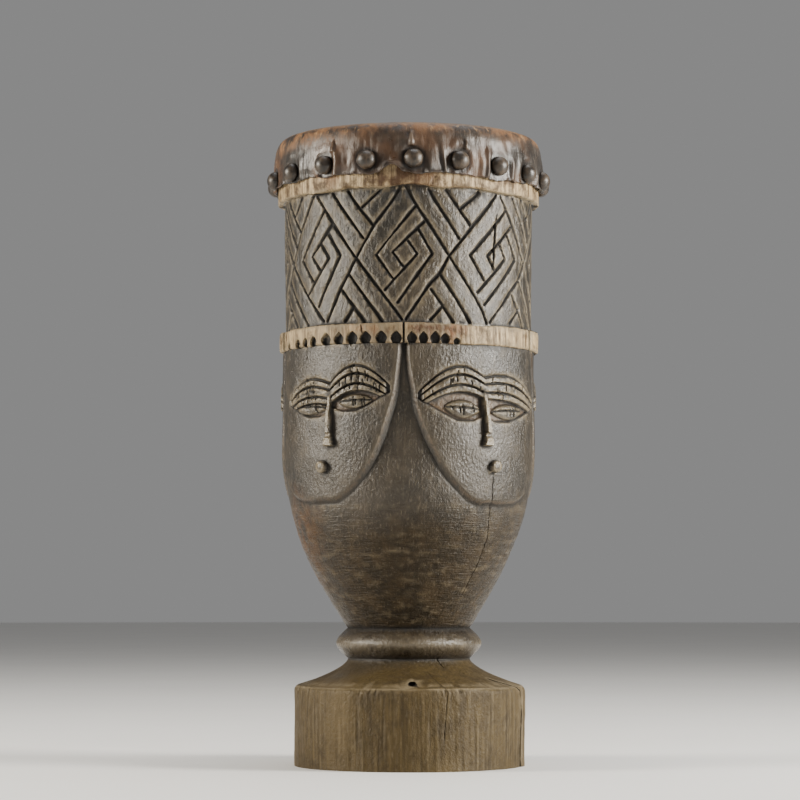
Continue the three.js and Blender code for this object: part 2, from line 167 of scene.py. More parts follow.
def stroke_distance(z, strokes, reach, radius, theta=TURNS):
    """Distance from each grid point to the nearest straight stroke, where it is under reach."""
    nearest = np.full((z.size, theta.size), float(reach))
    for (t0, z0), (t1, z1) in strokes:
        turn = angle_from(t0, theta)
        pad = math.degrees(reach / radius)
        rows = np.nonzero((z > min(z0, z1) - reach) & (z < max(z0, z1) + reach))[0]
        cols = np.nonzero((turn > min(0, t1 - t0) - pad) & (turn < max(0, t1 - t0) + pad))[0]
        dx, dz = math.radians(t1 - t0) * radius, z1 - z0
        x = np.radians(turn[cols]) * radius
        y = (z[rows] - z0)[:, None]
        k = unit((x * dx + y * dz) / (dx * dx + dz * dz))
        block = np.ix_(rows, cols)
        nearest[block] = np.minimum(nearest[block], np.hypot(x - k * dx, y - k * dz))
    return nearest


def rows_between(z, low, high):
    """The rows between two levels, with their own levels as a list and as a column."""
    rows = np.nonzero((z > low) & (z < high))[0]
    return rows, z[rows], z[rows][:, None]


def chained(points):
    return list(zip(points[:-1], points[1:]))


def spaced(low, high, step):
    return np.linspace(low, high, max(2, int(round((high - low) / step)) + 1))


# The turned ground of the body

def ground_radius(z):
    """The drum's own outline, before anything is carved into it or stands out from it."""
    shoulder = unit((z - FOOT_HEIGHT) / FOOT_SHOULDER)
    foot = FOOT_RADIUS - FOOT_SHOULDER * (1 - np.sqrt(1 - shoulder**2))
    flare_bottom = FOOT_HEIGHT + FOOT_SHOULDER
    flare_t = unit((z - flare_bottom) / (RING_BOTTOM - flare_bottom))
    flare = WAIST_RADIUS + (FOOT_RADIUS - FOOT_SHOULDER - WAIST_RADIUS) * (1 - flare_t) ** 1.6
    ring_t = unit((z - RING_BOTTOM) / (RING_TOP - RING_BOTTOM))
    slant = 1 - np.sqrt((2 * ring_t - 1) ** 2 + 0.03)
    ring = WAIST_RADIUS + RING_BULGE * (0.8 * np.sin(math.pi * ring_t) + 0.24 * unit(slant))
    belly_t = unit((z - RING_TOP) / (BELLY_TOP - RING_TOP))
    belly = WAIST_RADIUS + (BELLY_RADIUS - WAIST_RADIUS) * (1 - (1 - belly_t) ** 1.6)
    below = np.where(z < flare_bottom, foot, flare)
    return np.where(z < RING_BOTTOM, below, np.where(z < RING_TOP, ring, belly))


def rounded_ledge(z, bottom, top, proud):
    """Height of a raised band between two levels, with worn rounded edges."""
    inside = np.minimum(z - bottom, top - z)
    short = unit(1 - inside / EDGE_ROUNDING)
    return np.where(inside > 0, proud - EDGE_ROUNDING * (1 - np.sqrt(1 - short**2)), 0)


# The carved faces

def side(outline, brow, eye):
    """A side's outline is its half width and squareness, its brow the span, end level and rise,
    and its eye the middle, half width, half height, level, slit rise and level of its outer corner."""
    return {"outline": outline, "brow": brow, "eye": eye}


HIDDEN_SIDE = side((81.5, 2.4), (74, 394, 17), (29, 21.5, 8.4, 381.5, 1.8, 383))
FACES = [
    {
        "centre": -37.5, "height": 163, "cleft": 405, "root": 1, "tip": 1.4, "mouth": -8.6,
        "wear": 0.8, "nicks": 46, "seed": 3,
        "left": side((100, 5), (73, 393, 10.5), (32, 29.5, 7.2, 384.4, 1.6, 388.6)),
        "right": side((79.5, 1.8), (69, 402, 19), (31, 20, 7.9, 389.8, 1.2, 390.8)),
    },
    {
        "centre": 36.5, "height": 166, "cleft": 411, "root": -3.1, "tip": -0.5, "mouth": 10.4,
        "wear": 0.1, "nicks": 18, "seed": 8,
        "left": side((88, 1.8), (75, 394.5, 17.4), (29, 21, 10, 381.4, 2, 383.6)),
        "right": side((99, 5), (95, 391, 10.4), (33.5, 27, 8.7, 380.2, 1.8, 383)),
    },
] + [
    {
        "centre": centre, "height": 164, "cleft": 407, "root": 0, "tip": 0.5, "mouth": mouth,
        "wear": wear, "nicks": 14, "seed": seed, "left": HIDDEN_SIDE, "right": HIDDEN_SIDE,
    }
    for centre, mouth, wear, seed in ((111.4, 4, 0.3, 15), (179.2, -3, 0.4, 21), (247.1, 3, 0.5, 28))
]
BROW_LAST = 2.5
SOCKET_DEPTH = 3.4
LINE_TURNS_AT = 32
NOSE_TOP = 399
NOSE_NOTCH = 356.5
NOSE_TIP = 342.5
MOUTH_LEVEL = 321
MOUTH_RADIUS = 6.4
RIDGE_PROUD = 1.9
RIDGE_CUT = 2.2
LID_PROUD = 4.3
SLIT_DEPTH = 1.8
NICK_DEPTH = 1.5
FAR_BELOW = -8


def by_side(x, face, key):
    """A side's own sizes at each point, the left side's where x is negative."""
    return [np.where(x < 0, left, right) for left, right in zip(face["left"][key], face["right"][key])]


def face_surface(z):
    """Radius of a face's own surface: fullest at the cheeks, lower at brow and chin."""
    t = (z - FACE_BOTTOM) / FACE_HEIGHT
    chin = unit(1 - t / 0.4)
    return BELLY_RADIUS + FACE_PROUD - 5 * chin**2 - 2 * unit(t - 0.45)


def face_edge_distance(x, z, face):
    """Distance inside the face's U-shaped outline, negative outside it."""
    half, power = by_side(x, face, "outline")
    across = np.abs(x) / half
    down = np.clip(BAND_BOTTOM - z, 0, None) / face["height"]
    g = (across**power + down**power) ** (1 / power) + 1e-6
    slope = np.hypot((across / g) ** (power - 1) / half, (down / g) ** (power - 1) / face["height"])
    return (1 - g) / (slope + 1e-6)


def brow_rows(x, face):
    """The upper edge of the brow and the height of its three ridges together, across the face."""
    x = x - face["root"]
    span, end, rise = by_side(x, face, "brow")
    t = unit(np.abs(x) / span)
    level = face["cleft"] + (end - face["cleft"]) * t + rise * np.sin(math.pi * t**0.95)
    spacing = 7.5 * (1 - t) + 5.4 * t + 2.4 * np.sin(math.pi * t)
    return level + 0.5 * spacing, 3 * spacing


# Shares of the brow's height where its ridges meet: the middle ridge is the widest.
RIDGE_SHARES = (-3, 0, 0.29, 0.71, 1, 4)
RIDGE_ROWS = (-9.5, -0.5, 0.5, 1.5, 2.5, 11.5)


def brow_relief(x, z, face, above):
    """Three flat-topped ridges with cut grooves round and between them: height, how dark the grooves are,
    dirty and painted with shade, and row.
    """
    top, tall = brow_rows(x, face)
    row = np.interp((top - z) / tall, RIDGE_SHARES, RIDGE_ROWS)
    x = x - face["root"]
    short = by_side(x, face, "brow")[0] - np.abs(x)
    groove = ramp(0.31, 0.43, np.abs(row - np.round(row)))
    groove = np.maximum(groove, ramp(6, 2, short))
    shoulder = ramp(-0.84, -0.56, row)
    height = np.where(row < -0.5, -RIDGE_CUT * shoulder, lerp(RIDGE_PROUD, -RIDGE_CUT, groove))
    inside = ramp(-0.8, 0.6, above) * ramp(-1.4, 0.6, short) * (row < BROW_LAST)
    dirt_and_shade = np.where(row < -0.5, shoulder, groove) * inside
    return height * inside, dirt_and_shade, row


def socket_floor_line(x, face):
    """Level of the cut that closes the eye socket below and ends the ridges above it."""
    x = x - face["root"]
    away = np.abs(x)
    span, end, _ = by_side(x, face, "brow")
    end = end - 3
    _, _, half_height, level, _, _ = by_side(x, face, "eye")
    low = level - half_height - 2
    outer = np.clip((away - LINE_TURNS_AT) / (span - LINE_TURNS_AT), 0, 1.2) ** 1.12
    inner = np.clip((20 - away) / 15, 0, None) ** 2
    return low + (end - low) * outer + 3 * inner


def socket_relief(x, z, face, row, above):
    """The hollow with its closed eye: where it is, its height, its slit, dirty and painted with shade, and
    the cut below it, darkened the same way.
    """
    from_root = x - face["root"]
    away = np.abs(from_root)
    inside = ramp(BROW_LAST - 0.06, BROW_LAST + 0.06, row) * ramp(-0.5, 0.5, above)
    inside = inside * ramp(2, 3.4, away)
    floor = -SOCKET_DEPTH * lerp(0.62, 1, unit(above / 14))
    eye, slit = eye_relief(x, z, face)
    past = away - by_side(from_root, face, "brow")[0]
    cut = bell(above, 1.3) * (eye < 1)
    cut = cut * ramp(8, 16, away) * ramp(3, -1, past)
    return inside, floor + eye, slit, cut, eye < 0.3


def eye_relief(x, z, face):
    """A closed almond eye with a slit from corner to corner: height, and the slit, which is dirty and painted
    dark as shade.
    """
    middle, half_width, half_height, level, slit_rise, corner = by_side(x, face, "eye")
    u = np.clip((np.abs(x) - middle) / half_width, -1, 1)
    level = level + np.where(u > 0, corner - level, -1) * u * u
    half = half_height * (1 - u * u) ** 0.8 + 1e-3
    v = np.clip((z - level) / half, -1, 1)
    dome = np.sqrt(1 - v * v) * (0.5 + 0.5 * np.sqrt(1 - u * u))
    slit = ramp(1.25, 0.35, np.abs(z - level - slit_rise * (1 - u * u))) * (dome > 0.05)
    return LID_PROUD * dome - SLIT_DEPTH * slit, slit


def nose_relief(x, z, face):
    """A thin straight ridge, notched above a flared blunt tip. It is far below zero away from the nose."""
    t = unit((NOSE_TOP - z) / (NOSE_TOP - NOSE_NOTCH))
    centre = lerp(face["root"], face["tip"], t)
    height = lerp(1.8, 8.3, t**0.8)
    half = lerp(1.7, 2.4, t)
    low = unit((NOSE_NOTCH - z) / (NOSE_NOTCH - NOSE_TIP))
    tip = ramp(NOSE_NOTCH + 0.4, NOSE_NOTCH - 0.4, z)
    ledge = ramp(NOSE_NOTCH - 4.2, NOSE_NOTCH - 5.2, z)
    height = lerp(height, lerp(5.2, 7.2, ledge), tip)
    half = lerp(half, lerp(3, 5.2, low), tip)
    wall = ramp(half + 1.3, half - 0.2, np.abs(x - centre))
    ends = ramp(NOSE_TIP - 0.8, NOSE_TIP + 0.8, z) * ramp(NOSE_TOP + 8, NOSE_TOP - 1, z)
    return lerp(FAR_BELOW, height, wall * ends)


def mouth_relief(x, z, face):
    away = np.hypot(x - face["mouth"], z - MOUTH_LEVEL)
    head = 7.2 - 1.2 * unit(away / MOUTH_RADIUS) ** 3
    return lerp(FAR_BELOW, head, ramp(MOUTH_RADIUS + 0.8, MOUTH_RADIUS - 0.3, away))


def nick_strokes(face):
    """Short upright cuts that old tools and wear left across the brows and eyes."""
    rng = np.random.default_rng(face["seed"])
    strokes = []
    for _ in range(face["nicks"]):
        side = rng.choice([-1, 1])
        x = side * rng.uniform(6, 66) if rng.random() < 0.45 else side * abs(rng.normal(27, 9))
        top, tall = brow_rows(np.array([x]), face)
        top = float(top[0] - tall[0] * rng.uniform(-0.12, 0.75))
        angle = face["centre"] + math.degrees(x / FACE_ARC_RADIUS)
        strokes.append(((angle, top), (angle + rng.uniform(-0.4, 0.4), top - rng.uniform(4, 9))))
    for key, sign in (("left", -1), ("right", 1)):
        middle, half_width, _, level = face[key]["eye"][:4]
        for _ in range(4):
            x = sign * (middle + rng.uniform(-0.7, 0.7) * half_width)
            angle = face["centre"] + math.degrees(x / FACE_ARC_RADIUS)
            top = level + rng.uniform(1, 6)
            strokes.append(((angle, top), (angle + 0.2, level - rng.uniform(1, 6))))
    return strokes


def face_carving(theta, z, x, face):
    """Everything cut on a face's surface: height, how dark the cuts are, dirty and painted with shade, and
    where the wood shows warm.
    """
    level = z[:, None]
    above = level - socket_floor_line(x, face)
    brow, brow_dirt_and_shade, row = brow_relief(x, level, face, above)
    in_socket, hollow, slit, cut, bare = socket_relief(x, level, face, row, above)
    carving = lerp(brow, hollow, in_socket) - 1.2 * cut
    # The brow grooves, the eye's slit and the cut below the socket are darkened: dirt and painted shade.
    dirt_and_shade = np.maximum(np.maximum(brow_dirt_and_shade, slit * in_socket), 0.9 * cut)
    proud = np.maximum(nose_relief(x, level, face), mouth_relief(x, level, face))
    # Painted shade: a dark ring round the foot of the nose and of the mouth, where they rise from the face.
    dirt_and_shade = dirt_and_shade * (proud < carving) + 0.75 * ramp(-7.9, -6, proud) * (proud < carving + 0.3)
    carving = np.maximum(carving, proud)
    nicks = ramp(0.95, 0.2, stroke_distance(z, nick_strokes(face), 2, FACE_ARC_RADIUS, theta))
    nicks = nicks * ((row > -0.9) & (above > -1))
    # The nicks are darkened as well: dirt and painted shade in the cuts.
    return carving - NICK_DEPTH * nicks, np.maximum(dirt_and_shade, 0.9 * nicks), 0.9 * in_socket * bare


def carve_face(shape, z, face):
    """Raises one face on the body's grid of radii, and notes what is dirty or painted with shade, and what is
    warm in colour.
    """
    reach = math.degrees(108 / FACE_ARC_RADIUS)
    cols = np.nonzero(np.abs(angle_from(face["centre"])) < reach)[0]
    rows, at, level = rows_between(z, BAND_BOTTOM - face["height"] - 8, BAND_BOTTOM)
    block = np.ix_(rows, cols)
    theta = TURNS[cols]
    x = arc_from(face["centre"], FACE_ARC_RADIUS, theta)
    edge = face_edge_distance(x, level, face) + 0.35 * uneven(at, face["seed"], 26, 26)[:, cols]
    carving, dirt_and_shade, warm = face_carving(theta, at, x, face)
    worn = np.clip(uneven(at, face["seed"] + 1, 9, 6)[:, cols], 0, 1.6)
    carving = np.where(carving > 0.4, carving - 0.7 * face["wear"] * worn, carving)
    plate = face_surface(level) + 0.16 * uneven(at, face["seed"] + 2, 24, 24)[:, cols]
    rounding = 0.8 * unit(1 - edge / 1.6) ** 2
    raised = plate + carving * ramp(0, 2.5, edge) - rounding
    wall = unit((edge + FACE_EDGE_SLOPE) / FACE_EDGE_SLOPE)
    ground = shape["radius"][block]
    shaped = np.where(edge > 0, raised, lerp(ground, plate - 0.8, wall))
    # A thin groove round the foot of the plate's wall, also painted dark as a line of shade.
    foot_line = bell(edge + FACE_EDGE_SLOPE + 0.6, 1)
    carved = np.where(edge > -FACE_EDGE_SLOPE, np.maximum(ground, shaped), ground - 0.4 * foot_line)
    shape["radius"][block] = carved
    # Painted shade: the lower part of each plate's wall is darkened as if in shade, and joins the soot and
    # painted shade of the cuts.
    shaded_wall = ramp(-0.8, -2.2, edge) * (wall > 0.02)
    soot_and_shade = np.maximum(dirt_and_shade, 0) * (edge > 0) + np.maximum(0.7 * foot_line, 0.55 * shaded_wall)
    calm = np.exp(-(((edge + 1) / 4.5) ** 4))
    warm = np.where(edge > 0.3, warm, 0.4 * (edge > -1.4))
    for key, layer in (("soot_and_shade", soot_and_shade), ("calm", calm), ("warm", warm)):
        shape[key][block] = np.maximum(shape[key][block], layer)


# The interlace panel

# One knot's grooves, in shares of the pitch and of the panel's height.
KNOT_RUNS = [
    [(0.02, 1), (0.5, 0.5), (0.905, 0.09), (0.98, 0.01)],
    [(0.965, 1), (0.713, 0.75), (0.5, 0.5), (0.395, 0.37), (0.284, 0.28), (0.025, 0.01)],
    [(0.232, 1), (0.585, 0.64)],
    [(0.413, 1), (0.69, 0.75)],
    [(0.75, 1), (0.573, 0.88)],
    [(0.395, 0.37), (0.75, 0)],
    [(0.3, 0.24), (0.545, 0)],
    [(0.43, 0.125), (0.29, 0.01)],
    [(0.108, 0.885), (-0.28, 0.515), (-0.107, 0.33)],
    [(0.21, 0.76), (-0.095, 0.53), (0.01, 0.42)],
    [(0.15, 0.715), (0.31, 0.52), (-0.07, 0.14)],
    [(0.056, 0.62), (0.15, 0.515), (-0.19, 0.24)],
]
# How far the knots at the front have slipped off an even pitch: at a level, at these turns.
KNOT_SLIPS = (
    (0, (-2.2, -1, 0, 1, 2.2), (0, 0.085, -0.053, -0.137, 0)),
    (0.5, (-2.4, -1.5, -0.5, 0.5, 1.5, 2.4), (0, 0.016, -0.043, -0.093, -0.02, 0)),
    (1, (-2.2, -1, 0, 1, 2.2), (0, -0.036, -0.048, 0, 0)),
)


def drawn_angle(turn, rise):
    """Angle of a point of the drawing, once the front knots have slipped."""
    near = (turn + KNOT_COUNT / 2) % KNOT_COUNT - KNOT_COUNT / 2
    slips = [np.interp(near, turns, sizes) for _, turns, sizes in KNOT_SLIPS]
    return (turn + np.interp(rise, [level for level, _, _ in KNOT_SLIPS], slips)) * 360 / KNOT_COUNT


def interlace_strokes():
    rng = np.random.default_rng(44)
    bottom = BAND_TOP + GROOVE_MARGIN
    height = PANEL_TOP - BAND_TOP - 2 * GROOVE_MARGIN
    strokes = []
    for knot in range(KNOT_COUNT):
        for run in KNOT_RUNS:
            points = []
            for turn, rise in run:
                angle = drawn_angle(knot + turn, rise) + rng.normal(0, 0.2)
                points.append((angle, bottom + rise * height + rng.normal(0, 0.5)))
            strokes += chained(points)
    return strokes


def carve_interlace(shape, z):
    rows, at, level = rows_between(z, BAND_TOP, PANEL_TOP)
    t = (level - BAND_TOP) / (PANEL_TOP - BAND_TOP)
    waves = 0.3 * uneven(at, 51, 60, 60) + 0.12 * uneven(at, 53, 4, 34)
    face = PANEL_RADIUS - 0.8 + 1.5 * t + waves
    away = stroke_distance(at, interlace_strokes(), 8, PANEL_RADIUS)
    width = GROOVE_HALF_WIDTH * (1 + 0.16 * uneven(at, 52, 22, 22))
    cut = unit(1 - (away / width) ** 1.6)
    crown = 0.4 * (1 - np.exp(-away / 2))
    shape["radius"][rows, :] = face + crown - GROOVE_DEPTH * cut
    # The grooves are painted dark: soot and painted shade in the cuts.
    shape["soot_and_shade"][rows, :] = ramp(1.25, 0.75, away / width)


# The headband and the collar

# Each notch is its angle, width and height, and each slot its angle and half width.
NOTCHES = [
    (-66.5, 7, 8), (-57.8, 8.5, 9.5), (-51.9, 8.5, 9.5), (-46.4, 10, 10.5), (-38.8, 12.5, 13),
    (-31.9, 12, 12.5), (-25.3, 13, 13.5), (-19.1, 13, 13), (-12, 12.5, 13), (-5.5, 12.5, 12.5),
    (1.3, 11, 12), (6.3, 10, 12), (11.5, 11, 12.5), (15.9, 10.5, 11), (21.3, 8, 6.5),
]
BAND_SLOTS = [(-2.2, 1), (69.6, 2.4), (143.7, 1.2), (215.3, 1.2), (285.5, 1.2)]
NOTCH_SHARES = (0, 0.15, 0.4, 0.62, 0.85, 1)
NOTCH_WIDTHS = (0.62, 0.78, 1, 0.86, 0.4, 0)


def carve_headband(shape, z):
    rows, at, level = rows_between(z, BAND_BOTTOM, BAND_TOP)
    proud = BAND_PROUD - 0.4 + 0.4 * uneven(at, 61, 40, 60) + 0.2 * uneven(at, 62, 3.5, 30)
    blocks = sum(ramp(9, 8, np.abs(angle_from(middle))) for middle in (-83.5, 80))
    proud = proud + 1.2 * blocks
    height = rounded_ledge(level, BAND_BOTTOM, BAND_TOP, proud)
    cut = np.zeros_like(height)
    for angle, width, tall in NOTCHES:
        x = arc_from(angle, PANEL_RADIUS + BAND_PROUD)
        half = 0.5 * width * np.interp((level - BAND_BOTTOM) / tall, NOTCH_SHARES, NOTCH_WIDTHS)
        cut = np.maximum(cut, ramp(0.5, -0.5, np.abs(x) - half) * (half > 0))
    for angle, half in BAND_SLOTS:
        x = arc_from(angle, PANEL_RADIUS + BAND_PROUD)
        cut = np.maximum(cut, ramp(half + 0.4, half - 0.3, np.abs(x)) + 0 * level)
    shape["radius"][rows, :] = PANEL_RADIUS + height - np.minimum(5.2 * cut, height + 0.4)
    # The notches and slots are painted dark: soot and painted shade in the cuts.
    shape["soot_and_shade"][rows, :] = ramp(0.1, 0.5, cut)


def carve_collar(shape, z):
    rows, at, level = rows_between(z, PANEL_TOP, BODY_TOP)
    proud = COLLAR_RADIUS - PANEL_RADIUS - 0.4 + 0.3 * uneven(at, 71, 30, 30)
    dents = np.clip(uneven(at, 72, 7, 7) - 1.3, 0, 1.2)
    hatching = np.clip(uneven(at, 73, 2.6, 18) - 0.8, 0, 1.5)
    ledge = rounded_ledge(level, PANEL_TOP, BODY_TOP, proud)
    shape["radius"][rows, :] = PANEL_RADIUS + ledge - 0.7 * dents - 0.25 * hatching


# Cracks, chips and the vent

# Each crack is its half width, its depth, how dark it is and its points.
CRACKS = [
    (0.55, 1.5, 0.7, [(40.8, 316), (41, 300), (41.5, 284)]),
    (0.5, 1.4, 0.6, [(41.5, 283), (43.5, 262), (45, 245), (43.5, 215), (40, 186)]),
    (1.2, 5, 1, [(60, 95), (68, 88.5), (73, 82), (75, 60), (74.3, 30), (75, 1)]),
    (0.55, 0.9, 0.45, [(14.5, 103), (17.5, 91), (19, 84), (18, 60), (17.2, 34)]),
    (1.9, 3.4, 1, [(43.3, 582), (42.4, 562), (42, 544)]),
    (0.8, 2.2, 0.9, [(43.8, 592), (43.3, 580), (42, 545), (41.6, 534)]),
    (0.7, 1.8, 0.8, [(-21, 470), (-20.6, 462)]),
    (0.7, 1.5, 0.8, [(27, 118), (30, 108)]),
    (0.9, 2.2, 0.9, [(128, 86), (127, 40), (127.5, 4)]),
    (0.7, 1.8, 0.8, [(-118, 285), (-120, 250), (-117.5, 205)]),
    (0.8, 2, 0.8, [(-150, 84), (-151, 30)]),
    (0.9, 2.4, 0.9, [(197, 612), (198, 560), (197.2, 520)]),
]
# The vent is its angle, level, half width and depth.
VENT = (2, 91.5, 5.2, 9)
STEP_ANGLE = 74.8
STEP_PROUD = 1.4


def cut_cracks(shape, z):
    for half, depth, darkness, points in CRACKS:
        away = stroke_distance(z, chained(points), 3, FOOT_RADIUS)
        shape["radius"] -= depth * ramp(half, 0.15 * half, away)
        # Each crack is painted dark inside: soot and painted shade in the gap, as dark as its darkness.
        shape["soot_and_shade"] = np.maximum(shape["soot_and_shade"], darkness * ramp(1.3 * half, 0.5 * half, away))


def cut_vent(shape, z):
    angle, level, size, depth = VENT
    x = arc_from(angle, ground_radius(np.array([level])))
    away = np.hypot(x, (z[:, None] - level) * 2.1)
    shape["radius"] -= depth * ramp(size, size - 1.6, away)
    # The vent is painted dark inside: soot and painted shade in the hole.
    shape["soot_and_shade"] = np.maximum(shape["soot_and_shade"], ramp(size + 0.6, size - 1, away))


def roughen(shape, z):
    """Hand work: a broad unevenness, tool marks that run round the belly, and upright grain on the foot."""
    radius = shape["radius"]
    low = ramp(285, 240, z)[:, None]
    belly = low * ramp(148, 156, z)[:, None]
    foot = ramp(FOOT_HEIGHT + 6, FOOT_HEIGHT - 2, z)[:, None]
    radius += low * 0.5 * uneven(z, 81, 90, 70) + 0.09 * uneven(z, 82, 8, 8)
    radius += belly * 0.16 * uneven(z, 84, 20, 4) + foot * 0.22 * uneven(z, 85, 3.4, 60)
    past = angle_from(STEP_ANGLE)
    solid_foot = (z < FOOT_HEIGHT + FOOT_SHOULDER)[:, None]
    radius += solid_foot * STEP_PROUD * (ramp(0, 0.8, past) * ramp(16, 9, past) - 0.6)
    chips = unit(uneven_round(83, 7) - 1.35)
    lip = bell(z - FOOT_HEIGHT - 2, 3)[:, None]
    radius -= 2 * chips * lip


# Each wandering ledge is its level, its seed and how far it wanders.
LEDGES = [(BAND_BOTTOM, 91, 0.8), (BAND_TOP, 92, 0.9), (PANEL_TOP, 93, 1.2), (FOOT_HEIGHT, 94, 0.8)]


def ledge_wave(z):
    """How far the hand-cut ledges wander up and down."""
    rise = np.zeros((z.size, COLUMNS))
    for level, seed, size in LEDGES:
        near = bell(z - level, 9)[:, None]
        rise += near * size * (0.8 * uneven_round(seed, 45) + 0.35 * uneven_round(seed + 10, 12))
    front = 1.2 * bell(TURNS, 60) + 3.6 * bell(angle_from(-1), 14)
    return rise + bell(z - PANEL_TOP, 9)[:, None] * front


# Meshes

def grid_mesh(name, points, poles=False):
    """A mesh over rows that close round the drum. Its rows close on each other, or end in poles."""
    rows, cols, _ = points.shape
    index = np.arange(rows * cols).reshape(rows, cols)
    here, after = (index[:-1], index[1:]) if poles else (index, np.roll(index, -1, axis=0))
    quads = np.stack([here, np.roll(here, -1, axis=1), np.roll(after, -1, axis=1), after], axis=-1)
    quads = quads.reshape(-1, 4)
    mesh = bpy.data.meshes.new(name)
    corners = points.reshape(-1, 3)
    faces = quads.ravel()
    starts = np.arange(len(quads)) * 4
    if poles:
        corners = np.concatenate([corners, points[:1].mean(axis=1), points[-1:].mean(axis=1)])
        low = np.stack([np.full(cols, index.size), np.roll(index[0], -1), index[0]], axis=-1)
        high = np.stack([np.full(cols, index.size + 1), index[-1], np.roll(index[-1], -1)], axis=-1)
        starts = np.concatenate([starts, faces.size + np.arange(2 * cols) * 3])
        faces = np.concatenate([faces, low.ravel(), high.ravel()])
    corners = (corners * MM).astype(np.float32)
    faces = faces.astype(np.int32)
    mesh.vertices.add(len(corners))
    mesh.vertices.foreach_set("co", corners.ravel())
    mesh.loops.add(len(faces))
    mesh.loops.foreach_set("vertex_index", faces)
    mesh.polygons.add(len(starts))
    mesh.polygons.foreach_set("loop_start", starts.astype(np.int32))
    mesh.update(calc_edges=True)
    mesh.validate()
    return mesh


def linked(name, data):
    made = bpy.data.objects.new(name, data)
    bpy.context.scene.collection.objects.link(made)
    return made


def piece(name, mesh, material, slot, *nodes):
    made = linked(name, mesh)
    mesh.materials.append(material)
    mesh.shade_smooth()
    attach(made, "root")
    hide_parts(*nodes)
    return made


def thin_out(obj, triangles):
    """Keeps triangles where the carving needs them, and fewer where the surface is plain."""
    count = len(obj.data.loops) - 2 * len(obj.data.polygons)
    thin = obj.modifiers.new("thin", "DECIMATE")
    thin.ratio = min(1, triangles / count)
    thin.use_collapse_triangulate = True
    result = bpy.data.meshes.new_from_object(obj.evaluated_get(bpy.context.evaluated_depsgraph_get()))
    obj.modifiers.clear()
    old, obj.data = obj.data, result
    bpy.data.meshes.remove(old)
    result.shade_smooth()
    result.set_sharp_from_angle(angle=math.radians(SHARP_ANGLE))


def high_and_low(radius, reach):
    """How far each grid point stands above or below the surface round it."""
    around = np.zeros_like(radius)
    rows = np.arange(radius.shape[0])
    steps = [(down, along) for down in (-reach, 0, reach) for along in (-reach, 0, reach) if down or along]
    for down, along in steps:
        picked = radius[np.clip(rows + down, 0, radius.shape[0] - 1), :]
        around += np.roll(picked, along, axis=1)
    return radius - around / len(steps)


def paint(obj, z, radius, layers):
    """Stores what the finish needs to know of the carving in one colour attribute."""
    mesh = obj.data
    co = np.empty(len(mesh.vertices) * 3, dtype=np.float32)
    mesh.vertices.foreach_get("co", co)
    x, y, up = (co.reshape(-1, 3) / MM).T
    turn = np.degrees(np.arctan2(x, -y))
    col = np.round((turn - TURNS[0]) / 360 * COLUMNS).astype(int) % COLUMNS
    row = np.clip(np.searchsorted(z, up), 0, z.size - 1)
    outside = np.abs(np.hypot(x, y) - radius[row, col]) < 8
    values = np.ones((len(up), 4), dtype=np.float32)
    for i, (layer, inside_value) in enumerate(layers):
        values[:, i] = np.where(outside, layer[row, col], inside_value)
    attribute = mesh.color_attributes.new(name="carving", type="FLOAT_COLOR", domain="POINT")
    attribute.data.foreach_set("color", values.ravel())


# The wood body

def body_levels():
    """Row levels from the floor up: each zone is its first level, its last and the step between rows."""
    gap = 0.2
    zones = [
        (0, FOOT_HEIGHT - 2, 2.4), (FOOT_HEIGHT - 1.6, 90, 0.5), (90.8, RING_BOTTOM, 0.8),
        (RING_BOTTOM + 0.8, RING_TOP, 1.1), (RING_TOP + 1, FACE_BOTTOM - 6, 1.7),
        (FACE_BOTTOM - 5, BAND_BOTTOM - gap, 0.75), (BAND_BOTTOM + gap, BAND_TOP - gap, 0.75),
        (BAND_TOP + gap, PANEL_TOP - gap, 0.75), (PANEL_TOP + gap, 632, 0.8),
        (636, BODY_TOP - 1, 6),
    ]
    return np.concatenate([spaced(*zone) for zone in zones])


def hollow_profile():
    inner = PANEL_RADIUS - WALL
    corners = [
        (COLLAR_RADIUS - 6, BODY_TOP), (inner + 5, BODY_TOP), (inner, BODY_TOP - 6), (inner, BAND_TOP),
        (BELLY_RADIUS - WALL, BELLY_TOP), (87, 238), (46, BOWL_FLOOR),
        (THROAT_RADIUS, BOWL_FLOOR - 6), (THROAT_RADIUS, FOOT_CAVITY + FOOT_CAVITY_SLOPE),
        (FOOT_INNER_RADIUS, FOOT_CAVITY), (FOOT_INNER_RADIUS, 1.2), (FOOT_INNER_RADIUS + 1.2, 0),
    ]
    points = [corners[0]]
    for (r0, z0), (r1, z1) in chained(corners):
        count = max(1, int(math.hypot(r1 - r0, z1 - z0) / 9))
        points += [(lerp(r0, r1, i / count), lerp(z0, z1, i / count)) for i in range(1, count + 1)]
    return np.array(points)


def ring_points(radius, level):
    a = np.radians(TURNS)
    return np.stack([radius * np.sin(a), -radius * np.cos(a), level + 0 * radius], axis=-1)


